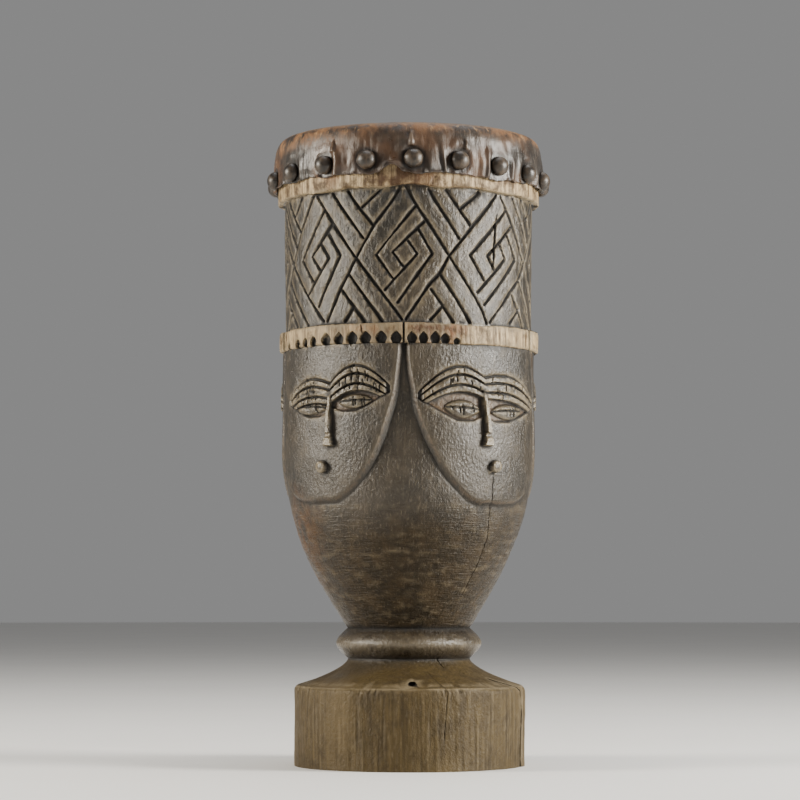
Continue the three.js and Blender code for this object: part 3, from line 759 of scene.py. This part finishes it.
def make_body(material):
    z = body_levels()
    radius = ground_radius(z)[:, None] + np.zeros(COLUMNS)
    shape = {"radius": radius} | {name: np.zeros_like(radius) for name in ("soot_and_shade", "warm", "calm")}
    for face in FACES:
        carve_face(shape, z, face)
    carve_interlace(shape, z)
    carve_headband(shape, z)
    carve_collar(shape, z)
    roughen(shape, z)
    cut_cracks(shape, z)
    cut_vent(shape, z)
    radius = shape["radius"]
    level = z[:, None] + ledge_wave(z) * (z > 1)[:, None]
    outer = ring_points(radius, level)
    hollow = hollow_profile()
    tidy = ((hollow[:, 1] > 2) & (hollow[:, 1] < BODY_TOP - 8))[:, None]
    hollow_radius = hollow[:, 0][:, None] + 0.4 * uneven(hollow[:, 1], 97, 40, 40) * tidy
    inner = ring_points(hollow_radius, hollow[:, 1][:, None])
    mesh = grid_mesh("carved_body", np.concatenate([outer, inner]))
    body = piece("carved_body", mesh, material, "drum_wood", "drum_body")
    thin_out(body, BODY_TRIANGLES)
    relief = high_and_low(radius, 3)
    raised = unit(relief * 1.1 - 0.12) * (1 - 0.85 * shape["calm"])
    # Darkened where the surface lies below what is round it: soot in the cuts and painted shade in every
    # hollow.
    sunk_dirt_and_shade = unit(np.maximum(shape["soot_and_shade"], -relief * 0.7 - 0.1))
    # The hollow inside the drum gets a fixed share of that darkening.
    paint(body, z, radius, [(raised, 0), (sunk_dirt_and_shade, 0.3), (shape["warm"], 0)])
    return body


# The rawhide head

def peg_places():
    places = []
    for i in range(PEG_COUNT):
        even = PEG_FIRST_ANGLE + i * 360 / PEG_COUNT
        a = math.radians(even)
        angle = even - PEG_DRIFT * (0.8 * math.sin(a) + 1 - math.cos(a))
        places.append((angle, PEG_LEVEL + PEG_RISE * math.cos(a) ** 2))
    return places


# Each spike is its angle, foot level and height, and each arch of the hem its angle, rise and half width.
SPIKE_FOLDS = [(1, 657, 19), (24, 655, 14), (-33, 654, 16), (150, 656, 16)]
HEM_ARCHES = [(-7.6, 9.6, 5), (-34, 1.6, 9), (20, 1.4, 6), (95, 4, 5), (170, 5, 5), (-130, 4.5, 5)]


def add_fold(total, dirt_and_shade, level, angle, gap, share, rng):
    """One fold that runs up from the hem, with a hollow along one side that is painted dark as shadow."""
    start = angle + gap * (share + rng.uniform(-0.04, 0.04))
    lean = (0.5 - share) * rng.uniform(0.05, 0.2) + rng.normal(0, 0.02)
    end = rng.uniform(646, 672)
    width = rng.uniform(1.6, 4.2)
    tall = rng.uniform(1, 3.4)
    x = np.radians(angle_from(start + lean * (level - HIDE_HEM))) * HIDE_OUTER
    spread = width * (1 + 0.9 * unit((level - HIDE_HEM) / 40))
    fade = ramp(end, end - 24, level) * ramp(HIDE_HEM - 6, HIDE_HEM + 2, level)
    total += tall * bell(x, spread) * fade
    side = rng.choice([-1, 1]) * spread * 1.6
    shadow = bell(x - side, 0.8 * spread) * fade
    total -= 0.3 * tall * shadow
    # Painted shadow along the fold's hollow side.
    dirt_and_shade += 0.28 * tall * shadow


def pinch_round_peg(total, dirt_and_shade, level, angle, peg_level, rng):
    """The skin lies flat at a peg, dark there, dirty and painted with shade, with a lip round it that is
    higher on one side.
    """
    x = arc_from(angle, HIDE_OUTER)
    away = np.hypot(x, (level - peg_level) * 0.92)
    tilt = rng.uniform(-1.2, 1.2)
    round_peg = np.arctan2(x, level - peg_level)
    lip = rng.uniform(0.5, 1.5) * unit(0.3 + 0.7 * np.cos(round_peg - tilt))
    total *= ramp(9, 15.5, away)
    total += lip * bell(away - 17.5, 4.6)
    # A dark pocket round each peg: dirt and painted shadow.
    dirt_and_shade += 0.95 * ramp(15, 10.5, away)


def hide_relief(z):
    """Folds, the pinched skin round each peg, and spikes: height, and how dark the skin is, dirty and painted
    with shade.
    """
    rng = np.random.default_rng(17)
    level = z[:, None]
    total = np.zeros((z.size, COLUMNS))
    dirt_and_shade = np.zeros_like(total)
    places = peg_places()
    for i, (angle, _) in enumerate(places):
        gap = (places[(i + 1) % PEG_COUNT][0] - angle) % 360
        for share in rng.choice([0.3, 0.42, 0.55, 0.68], size=int(rng.integers(1, 4)), replace=False):
            add_fold(total, dirt_and_shade, level, angle, gap, share, rng)
    total += 1.3 * ramp(HIDE_HEM, HIDE_HEM + 12, level) * ramp(HIDE_SHOULDER + 6, 650, level)
    total += 0.55 * uneven(z, 18, 26, 22) * ramp(HIDE_TOP - 4, HIDE_SHOULDER, level)
    total += 0.2 * uneven(z, 19, 6, 12) * ramp(HIDE_TOP - 2, HIDE_SHOULDER, level)
    for angle, peg_level in places:
        pinch_round_peg(total, dirt_and_shade, level, angle, peg_level, rng)
    for angle, foot, size in SPIKE_FOLDS:
        rise = (level - foot) / size
        spike = bell(arc_from(angle, HIDE_OUTER), 0.8 + 2.2 * unit(1 - rise))
        total += 2.4 * spike * ramp(0, 0.15, rise) * ramp(1, 0.7, rise)
    return np.clip(total, -0.5, 6.5), unit(dirt_and_shade)


def hide_hem():
    """How far the ragged hem stands above its usual level."""
    rise = 0.9 * uneven_round(23, 22) + 0.45 * uneven_round(24, 5)
    for angle, high, wide in HEM_ARCHES:
        rise += high * bell(angle_from(angle), wide)
    for angle, _ in peg_places():
        rise -= 0.9 * bell(angle_from(angle), 3.2)
    return rise


HIDE_TOP_SHARES = (0.985, 0.96, 0.92, 0.86, 0.78, 0.68, 0.56, 0.44, 0.32, 0.2, 0.1, 0.03)


def quarter_turn(rim, reach, rise, angles):
    """Points of a quarter ellipse, from the shoulder's side to the top of the rim."""
    return [(rim + reach * math.cos(a), HIDE_SHOULDER + rise * math.sin(a)) for a in angles]


def hide_profile():
    """The skin's own section: in across the top, down inside the collar's outside, and back up."""
    rim = HIDE_OUTER - HIDE_RIM_REACH
    thin = HIDE_THICKNESS
    rise = HIDE_TOP - HIDE_SHOULDER
    turn = np.linspace(0, math.pi / 2, 16)
    outer = [(HIDE_OUTER, level) for level in spaced(HIDE_HEM, HIDE_SHOULDER, 0.7)]
    outer += quarter_turn(rim, HIDE_RIM_REACH, rise, turn[1:])
    outer += [(rim * share, HIDE_TOP) for share in HIDE_TOP_SHARES]
    inner = [(rim * share, HIDE_TOP - thin) for share in (0.03, 0.2, 0.5, 0.8, 0.95)]
    inner += quarter_turn(rim, HIDE_RIM_REACH - thin, rise - thin, turn[::-3])
    inner += [(HIDE_OUTER - thin, level) for level in spaced(HIDE_HEM, HIDE_SHOULDER, 4)[::-1][1:]]
    hem = [(HIDE_OUTER - thin * share, HIDE_HEM - 0.7) for share in (0.75, 0.25)]
    return np.array(inner + hem + outer)


def make_hide(material):
    profile = hide_profile()
    radius0, level0 = profile[:, :1], profile[:, 1:]
    side = ramp(HIDE_OUTER - HIDE_RIM_REACH, HIDE_OUTER - 3, radius0)
    folds, dirt_and_shade = hide_relief(profile[:, 1])
    curl = np.clip(uneven_round(29, 9), 0, 1.8)
    folds = folds * side + 1.6 * curl * np.exp(-np.clip(level0 - HIDE_HEM, 0, None) / 2.6) * side
    hem = hide_hem() * ramp(HIDE_HEM + 16, HIDE_HEM, level0) * side
    sag = -0.5 * ramp(HIDE_OUTER - 10, 20, radius0)
    grain = 0.15 * uneven(radius0[:, 0] * 2, 31, 20, 20) * (1 - side)
    points = ring_points(radius0 + folds, level0 + hem + sag - np.abs(grain))
    mesh = grid_mesh("rawhide_head", points, poles=True)
    hide = piece("rawhide_head", mesh, material, "rawhide", "drum_hide")
    thin_out(hide, HIDE_TRIANGLES)
    first = int(np.argmax(profile[:, 0] >= HIDE_OUTER))
    outer = slice(first, first + int(np.sum((profile[:, 1] < HIDE_TOP - 0.2)[first:])))
    z = profile[outer, 1]
    surface = (radius0 + folds)[outer]
    relief = high_and_low(surface, 3)
    below_rim = ramp(HIDE_TOP - 2, HIDE_TOP - 7, z)[:, None]
    raised = unit(relief * 0.9 - 0.1) * below_rim
    # Hollows, the folds' sides and the pockets round the pegs are darkened: dirt and painted shade.
    sunk_dirt_and_shade = unit(np.maximum(-relief * 0.8 - 0.1, dirt_and_shade[outer])) * below_rim
    rusty = bell(angle_from(-62), 34) * 12
    top = ramp(0, 12, z[:, None] - (HIDE_TOP - 14) + rusty) + np.zeros_like(surface)
    paint(hide, z, surface, [(raised, 0), (sunk_dirt_and_shade, 0), (top, 1)])
    return hide


# The pegs

def make_peg(number, angle, level, material):
    """A tapered shaft and a domed head, whittled a little unevenly."""
    sides = 56
    a = np.radians(np.arange(sides) * 360 / sides)
    neck = 4.6
    wide = PEG_HEAD_RADIUS
    under = [(lerp(neck, wide, math.sin(t)), PEG_BELLY - 3.6 * math.cos(t)) for t in np.linspace(0.1, 1.5, 8)]
    crown = PEG_CROWN - PEG_BELLY
    dome = [(wide * math.cos(t), PEG_BELLY + crown * math.sin(t)) for t in np.linspace(0, 1.5, 18)]
    shaft = [(0.5, PEG_TIP), (2.4, 133), (3.8, 141), (neck, PEG_BELLY - 3.8)]
    profile = np.array(shaft + under + dome)
    radius, out = profile[:, :1], profile[:, 1:]
    rng = np.random.default_rng(200 + number)
    head = ramp(146, 148, out)
    whittled = np.zeros_like(radius + a)
    for lobes in (2, 3, 5, 7):
        phase = rng.uniform(0, 2 * math.pi) + out * rng.uniform(-0.25, 0.25)
        whittled += rng.uniform(0.005, 0.016) * (np.sin(lobes * a + phase) - 1)
    radius = np.minimum(radius * (1 + head * whittled), 10.95)
    local = np.stack([radius * np.cos(a), radius * np.sin(a), out + 0 * radius], axis=-1)
    t = math.radians(angle)
    along = np.array([math.cos(t), math.sin(t), 0])
    outwards = np.array([math.sin(t), -math.cos(t), 0])
    up = np.array([0, 0, 1])
    points = local[..., :1] * along + local[..., 1:2] * up + local[..., 2:] * outwards + level * up
    name = f"peg_head_{number:02d}"
    return piece(name, grid_mesh(name, points, poles=True), material, "peg_wood", f"peg_{number:02d}")


# Materials

# Each colour is red, green and blue.
WOOD_BLACK = (0.01, 0.008, 0.005)
WOOD_BROWN = (0.031, 0.0225, 0.012)
WOOD_SPOTS = (0.054, 0.04, 0.0225)
WOOD_GRAIN = (0.078, 0.06, 0.037)
WOOD_SCRATCHES = (0.12, 0.096, 0.062)
WOOD_WORN = (0.2, 0.16, 0.1)
# Soot in the cuts together with painted shade in the hollows.
WOOD_SOOT_AND_SHADE = (0.0045, 0.0036, 0.003)
SOCKET_WARM = (0.1, 0.056, 0.023)
BELLY_DARK = (0.0125, 0.0082, 0.0032)
BELLY_BROWN = (0.03, 0.0185, 0.0068)
BELLY_RUST = (0.08, 0.035, 0.0105)
RING_DARK = (0.0125, 0.0085, 0.005)
FOOT_DARK = (0.044, 0.03, 0.0118)
FOOT_BROWN = (0.082, 0.057, 0.0225)
FOOT_SPOTS = (0.031, 0.021, 0.0088)
FOOT_PALE = (0.115, 0.081, 0.034)
BAND_DARK = (0.075, 0.046, 0.02)
BAND_CREAM = (0.5, 0.38, 0.22)
BAND_FLECKS = (0.06, 0.035, 0.014)
BAND_RUST = (0.15, 0.058, 0.022)
BAND_SPOTS = (0.05, 0.028, 0.011)
BAND_STAIN = (0.048, 0.021, 0.0085)
HIDE_BLACK = (0.0125, 0.009, 0.0062)
HIDE_BROWN = (0.056, 0.026, 0.0105)
HIDE_GREY = (0.08, 0.061, 0.043)
HIDE_WORN = (0.15, 0.105, 0.068)
# Soot and dirt together with painted shade in the hollows and round the pegs.
HIDE_SOOT_AND_SHADE = (0.006, 0.0045, 0.004)
RIM_DARK = (0.016, 0.0085, 0.0045)
RIM_RUST = (0.15, 0.066, 0.019)
RIM_PALE = (0.36, 0.21, 0.088)
TOP_DARK = (0.06, 0.031, 0.013)
TOP_BROWN = (0.14, 0.076, 0.032)
TOP_PALE = (0.2, 0.115, 0.052)
PEG_DARK = (0.0095, 0.0064, 0.004)
PEG_BROWN = (0.048, 0.0305, 0.016)
PEG_FIBRES = (0.08, 0.058, 0.038)
FLOOR_GREY = (0.7, 0.69, 0.67)
FLOOR_PALE = (0.76, 0.75, 0.73)

# Each noise is its stretch across and up, its detail, its roughness and its seed.
WOOD_NOISES = [
    ((11, 8), 3, 0.5, 3),
    ((60, 46), 5, 0.62, 7),
    ((330, 260), 4, 0.62, 6),
    ((330, 14), 5, 0.6, 1),
    ((900, 40), 3, 0.55, 5),
    ((520, 120), 3, 0.6, 9),
    ((60, 560), 4, 0.6, 2),
]
HIDE_NOISES = [
    ((18, 15), 3, 0.55, 11),
    ((60, 46), 5, 0.6, 13),
    ((240, 30), 4, 0.6, 15),
    ((700, 700), 3, 0.6, 17),
]
PEG_NOISES = [((120, 120), 4, 0.6, 21), ((620, 160), 3, 0.55, 23)]
FLOOR_NOISES = [((3, 3), 3, 0.5, 0)]


def node(near, kind, inputs=None, **settings):
    """A node in the tree of a socket or another node."""
    tree = near.id_data
    made = tree.nodes.new("ShaderNode" + kind)
    for key, value in settings.items():
        setattr(made, key, value)
    for key, value in (inputs or {}).items():
        if isinstance(value, bpy.types.NodeSocket):
            tree.links.new(value, made.inputs[key])
        else:
            made.inputs[key].default_value = value
    return made


def link(value, shader, name):
    shader.id_data.links.new(value, shader.inputs[name])


def noises(where, table):
    made = []
    for (across, up), detail, rough, seed in table:
        place = {"Vector": where, "Location": (seed, seed * 0.7, -seed), "Scale": (across, across, up)}
        placed = node(where, "Mapping", place).outputs[0]
        grain = {"Vector": placed, "Scale": 1, "Detail": detail, "Roughness": rough}
        made.append(node(where, "TexNoise", grain).outputs["Fac"])
    return made


def ranged(value, low, high, to_low=0, to_high=1):
    span = {"Value": value, "From Min": low, "From Max": high, "To Min": to_low, "To Max": to_high}
    return node(value, "MapRange", span).outputs[0]


def times(a, b, clamp=False):
    return node(a, "Math", {0: a, 1: b}, operation="MULTIPLY", use_clamp=clamp).outputs[0]


def plus(a, b, clamp=False):
    return node(a, "Math", {0: a, 1: b}, operation="ADD", use_clamp=clamp).outputs[0]


def with_shares(value, *shares):
    """A value with a share of each mask added to it."""
    for mask, share in shares:
        value = plus(times(mask, share), value)
    return value


def mixed(factor, a, b):
    """Mixes two colours, each a socket or a plain colour."""
    a, b = ((*colour, 1) if isinstance(colour, tuple) else colour for colour in (a, b))
    return node(factor, "Mix", {0: factor, 6: a, 7: b}, data_type="RGBA").outputs[2]


def layered(base, *coats):
    """Coats over a base colour: each is its mask, where that starts and is full, its strength and colour."""
    for mask, low, high, strength, colour in coats:
        base = mixed(ranged(mask, low, high, 0, strength), base, colour)
    return base


def bump(shader, *layers):
    """Bump upon bump: each layer is its height, its depth in metres and its strength."""
    normal = None
    for height, depth, strength in layers:
        made = node(shader, "Bump", {"Height": height, "Distance": depth, "Strength": strength})
        if normal is not None:
            link(normal, made, "Normal")
        normal = made.outputs[0]
    link(normal, shader, "Normal")


def new_material(name):
    material = bpy.data.materials.new(name)
    material.use_nodes = True
    tree = material.node_tree
    tree.nodes.clear()
    where = node(tree, "TexCoord").outputs["Object"]
    shader = node(tree, "BsdfPrincipled")
    node(tree, "OutputMaterial", {"Surface": shader.outputs[0]}).is_active_output = True
    return material, where, shader


def carving_layers(where):
    stored = node(where, "Attribute", attribute_type="GEOMETRY", attribute_name="carving")
    parts = node(where, "SeparateColor", {0: stored.outputs["Color"]})
    return list(parts.outputs)


def bare_bands(across, deep, height):
    """Where the wood is bare: on what stands proud of the panel, at the headband and at the collar."""
    level = node(height, "CombineXYZ", {0: across, 1: deep}).outputs[0]
    out = node(height, "VectorMath", {0: level}, operation="LENGTH").outputs["Value"]
    band = times(ranged(height, 0.447, 0.4474), ranged(height, 0.4756, 0.4752))
    levels = plus(band, ranged(height, 0.61, 0.6104))
    return times(ranged(out, 0.1386, 0.139), levels)


def dark_wood(across, height, warm, cloud, mottle, grain):
    """Colour of the handled wood, browner low down, and where the belly, the foot and the ring are."""
    wander = times(plus(cloud, -0.5), 0.1)
    uneven_height = plus(height, wander)
    dark = layered(
        WOOD_BLACK, (cloud, 0.36, 0.66, 1, WOOD_BROWN), (mottle, 0.5, 0.76, 0.7, WOOD_SPOTS),
        (grain, 0.54, 0.74, 0.45, WOOD_GRAIN),
    )
    belly = times(ranged(uneven_height, 0.3, 0.25), ranged(height, 0.146, 0.152))
    brown = layered(BELLY_DARK, (mottle, 0.4, 0.66, 1, BELLY_BROWN))
    dark = mixed(times(belly, 0.8), dark, brown)
    rusty = times(ranged(across, -0.085, -0.12), ranged(uneven_height, 0.335, 0.285))
    rusty = times(rusty, ranged(mottle, 0.38, 0.56))
    dark = mixed(times(times(rusty, belly), 0.75), dark, BELLY_RUST)
    foot_zone = ranged(uneven_height, 0.124, 0.1)
    foot = layered(
        FOOT_DARK, (grain, 0.32, 0.68, 1, FOOT_BROWN), (mottle, 0.46, 0.64, 0.7, FOOT_SPOTS),
        (cloud, 0.5, 0.62, 0.5, FOOT_PALE),
    )
    dark = mixed(times(foot_zone, 0.9), dark, foot)
    ring = times(ranged(height, 0.1165, 0.1185), ranged(height, 0.15, 0.145))
    dark = mixed(times(ring, 0.8), dark, RING_DARK)
    return mixed(times(warm, 0.75), dark, SOCKET_WARM), belly, foot_zone, ring


def bare_wood(across, deep, cloud, mottle, grain, flecks):
    """Colour of the raw tan bands, with a dark stain at the middle of the front."""
    tan = layered(
        BAND_DARK, (grain, 0.35, 0.65, 1, BAND_CREAM), (flecks, 0.56, 0.66, 0.6, BAND_FLECKS),
        (cloud, 0.54, 0.64, 0.8, BAND_RUST), (mottle, 0.48, 0.6, 0.9, BAND_SPOTS),
    )
    middle = times(ranged(across, -0.046, -0.026), ranged(across, 0.046, 0.026))
    stained = times(middle, ranged(deep, 0, -0.1))
    stained = times(stained, ranged(mottle, 0.36, 0.52, 0.35, 1))
    return mixed(times(stained, 0.72), tan, BAND_STAIN)


def carved_wood():
    """Dark handled wood, raw and tan on the bands, worn pale on what stands out, and sooty and painted with
    shade in the cuts.
    """
    material, where, shader = new_material("carved_wood")
    raised, sunk_dirt_and_shade, warm = carving_layers(where)
    across, deep, height = list(node(where, "SeparateXYZ", {0: where}).outputs)
    cloud, mottle, skin, grain, fibre, flecks, tooling = noises(where, WOOD_NOISES)
    bare = bare_bands(across, deep, height)
    dark, belly, foot_zone, ring = dark_wood(across, height, warm, cloud, mottle, grain)
    streak = ranged(flecks, 0.57, 0.7)
    scratched = mixed(times(streak, 0.35), dark, WOOD_SCRATCHES)
    wood = mixed(bare, scratched, bare_wood(across, deep, cloud, mottle, grain, flecks))
    worn = times(raised, ranged(mottle, 0.3, 0.5, 0.25, 1))
    wood = mixed(times(worn, 0.7, True), wood, WOOD_WORN)
    # Soot and painted shade darken the cuts and hollows.
    wood = mixed(times(sunk_dirt_and_shade, 0.93, True), wood, WOOD_SOOT_AND_SHADE)
    link(wood, shader, "Base Color")

    rough = ranged(mottle, 0.3, 0.7, 0.27, 0.45)
    rough = with_shares(rough, (sunk_dirt_and_shade, 0.4), (bare, 0.16), (foot_zone, 0.12), (ring, -0.06))
    rough = plus(rough, times(worn, -0.06), True)
    link(rough, shader, "Roughness")
    shine = with_shares(0.5, (bare, -0.25), (foot_zone, -0.34), (belly, -0.33))
    link(shine, shader, "Specular IOR Level")

    coarse = plus(skin, times(tooling, with_shares(0.1, (belly, 1.3))))
    upright = with_shares(times(grain, 0.8), (streak, -0.4))
    layers = (mottle, 0.0016, 0.3), (coarse, 0.0015, 0.75), (upright, 0.0006, 0.4), (fibre, 0.0003, 0.4)
    bump(shader, *layers)
    return material


def rawhide():
    """Smoked stiff skin: grey-black and glossy down the side, orange-brown where it turns over the rim."""
    material, where, shader = new_material("smoked_rawhide")
    raised, sunk_dirt_and_shade, top = carving_layers(where)
    cloud, blotch, streaks, pores = noises(where, HIDE_NOISES)
    height = node(where, "SeparateXYZ", {0: where}).outputs[2]
    side = layered(HIDE_BLACK, (cloud, 0.42, 0.62, 1, HIDE_BROWN), (streaks, 0.52, 0.72, 0.5, HIDE_GREY))
    rim = layered(RIM_DARK, (blotch, 0.44, 0.62, 1, RIM_RUST), (streaks, 0.56, 0.68, 0.6, RIM_PALE))
    plain = layered(TOP_DARK, (cloud, 0.35, 0.65, 1, TOP_BROWN), (blotch, 0.5, 0.75, 0.45, TOP_PALE))
    rim = layered(rim, (height, 0.6815, 0.6845, 0.85, plain))
    edge = plus(top, ranged(cloud, 0.52, 0.66, 0, 0.3), True)
    skin = mixed(edge, side, rim)
    skin = mixed(times(raised, 0.25, True), skin, HIDE_WORN)
    # Soot and painted shade darken the hollows, the folds' sides and the pockets round the pegs.
    skin = mixed(times(sunk_dirt_and_shade, 0.92, True), skin, HIDE_SOOT_AND_SHADE)
    link(skin, shader, "Base Color")
    rough = ranged(blotch, 0.35, 0.65, 0.27, 0.5)
    link(plus(rough, times(top, 0.14), True), shader, "Roughness")
    bump(shader, (with_shares(blotch, (streaks, 0.6)), 0.0018, 0.55), (pores, 0.0005, 0.55))
    return material


def peg_wood():
    """Dark satin heads with paler fibres."""
    material, where, shader = new_material("peg_wood")
    mottle, fibre = noises(where, PEG_NOISES)
    wood = layered(PEG_DARK, (mottle, 0.4, 0.68, 1, PEG_BROWN), (fibre, 0.56, 0.72, 0.4, PEG_FIBRES))
    link(wood, shader, "Base Color")
    link(ranged(mottle, 0.3, 0.7, 0.34, 0.5), shader, "Roughness")
    bump(shader, (with_shares(mottle, (fibre, 0.5)), 0.0006, 0.45))
    return material


def pale_floor():
    material, where, shader = new_material("pale_floor")
    grain, = noises(where, FLOOR_NOISES)
    link(mixed(grain, FLOOR_GREY, FLOOR_PALE), shader, "Base Color")
    shader.inputs["Roughness"].default_value = 0.7
    return material


# The stage

FLOOR_REACH = 14
FLOOR_SIDES = 64
WORLD_GREY = (0.9, 0.9, 0.9, 1)
WORLD_STRENGTH = 0.28
DRUM_MIDDLE = (0, 0, 0.4)
# Each light is its name, place, target, width, power and colour, in metres and watts.
LIGHTS = [
    ("left_softbox", (-2.7, -0.6, 1.05), DRUM_MIDDLE, 0.9, 135, (1, 0.93, 0.81)),
    ("right_softbox", (2.55, -0.75, 1), DRUM_MIDDLE, 0.9, 205, (1, 0.96, 0.88)),
    ("front_fill", (0, -3.8, 2.2), DRUM_MIDDLE, 1.6, 9, (1, 0.97, 0.92)),
    ("top_light", (0.3, 0.3, 3.4), (0, 0, 0), 2.4, 70, (1, 1, 1)),
]
CAMERA_PLACE = (-0.00933, -2.97, 0.18849)
CAMERA_LOOKS_UP = 4.0675
CAMERA_LENS = 121.5


def make_floor():
    mesh = bpy.data.meshes.new("floor")
    turns = [2 * math.pi * i / FLOOR_SIDES for i in range(FLOOR_SIDES)]
    rim = [(FLOOR_REACH * math.cos(a), FLOOR_REACH * math.sin(a), 0) for a in turns]
    mesh.from_pydata(rim, [], [list(range(FLOOR_SIDES))])
    mesh.materials.append(pale_floor())
    floor = linked("floor", mesh)


def area_light(name, place, target, size, power, colour):
    light = bpy.data.lights.new(name, "AREA")
    light.size = size
    light.energy = power
    light.color = colour
    lamp = linked(name, light)
    lamp.location = place
    aim = np.array(target) - np.array(place)
    pan = math.atan2(aim[1], aim[0]) - math.pi / 2
    tilt = math.atan2(aim[2], math.hypot(aim[0], aim[1]))
    lamp.rotation_euler = (math.pi / 2 + tilt, 0, pan)


def make_lights():
    world = bpy.data.worlds.new("studio")
    world.use_nodes = True
    sky = world.node_tree.nodes["Background"].inputs
    sky[0].default_value = WORLD_GREY
    sky[1].default_value = WORLD_STRENGTH
    bpy.context.scene.world = world
    for light in LIGHTS:
        area_light(*light)


def make_camera():
    """The photograph's view: nearly level, a little below the drum's middle, looking slightly up."""
    camera = linked("camera", bpy.data.cameras.new("camera"))
    camera.location = CAMERA_PLACE
    camera.rotation_euler = (math.radians(90 + CAMERA_LOOKS_UP), 0, 0)
    camera.data.sensor_width = 36
    camera.data.lens = CAMERA_LENS
    camera.data.clip_end = 60
    bpy.context.scene.camera = camera


make_camera()
make_body(carved_wood())
make_hide(rawhide())
peg_finish = peg_wood()
for number, (angle, level) in enumerate(peg_places(), start=1):
    make_peg(number, angle, level, peg_finish)
make_floor()
make_lights()
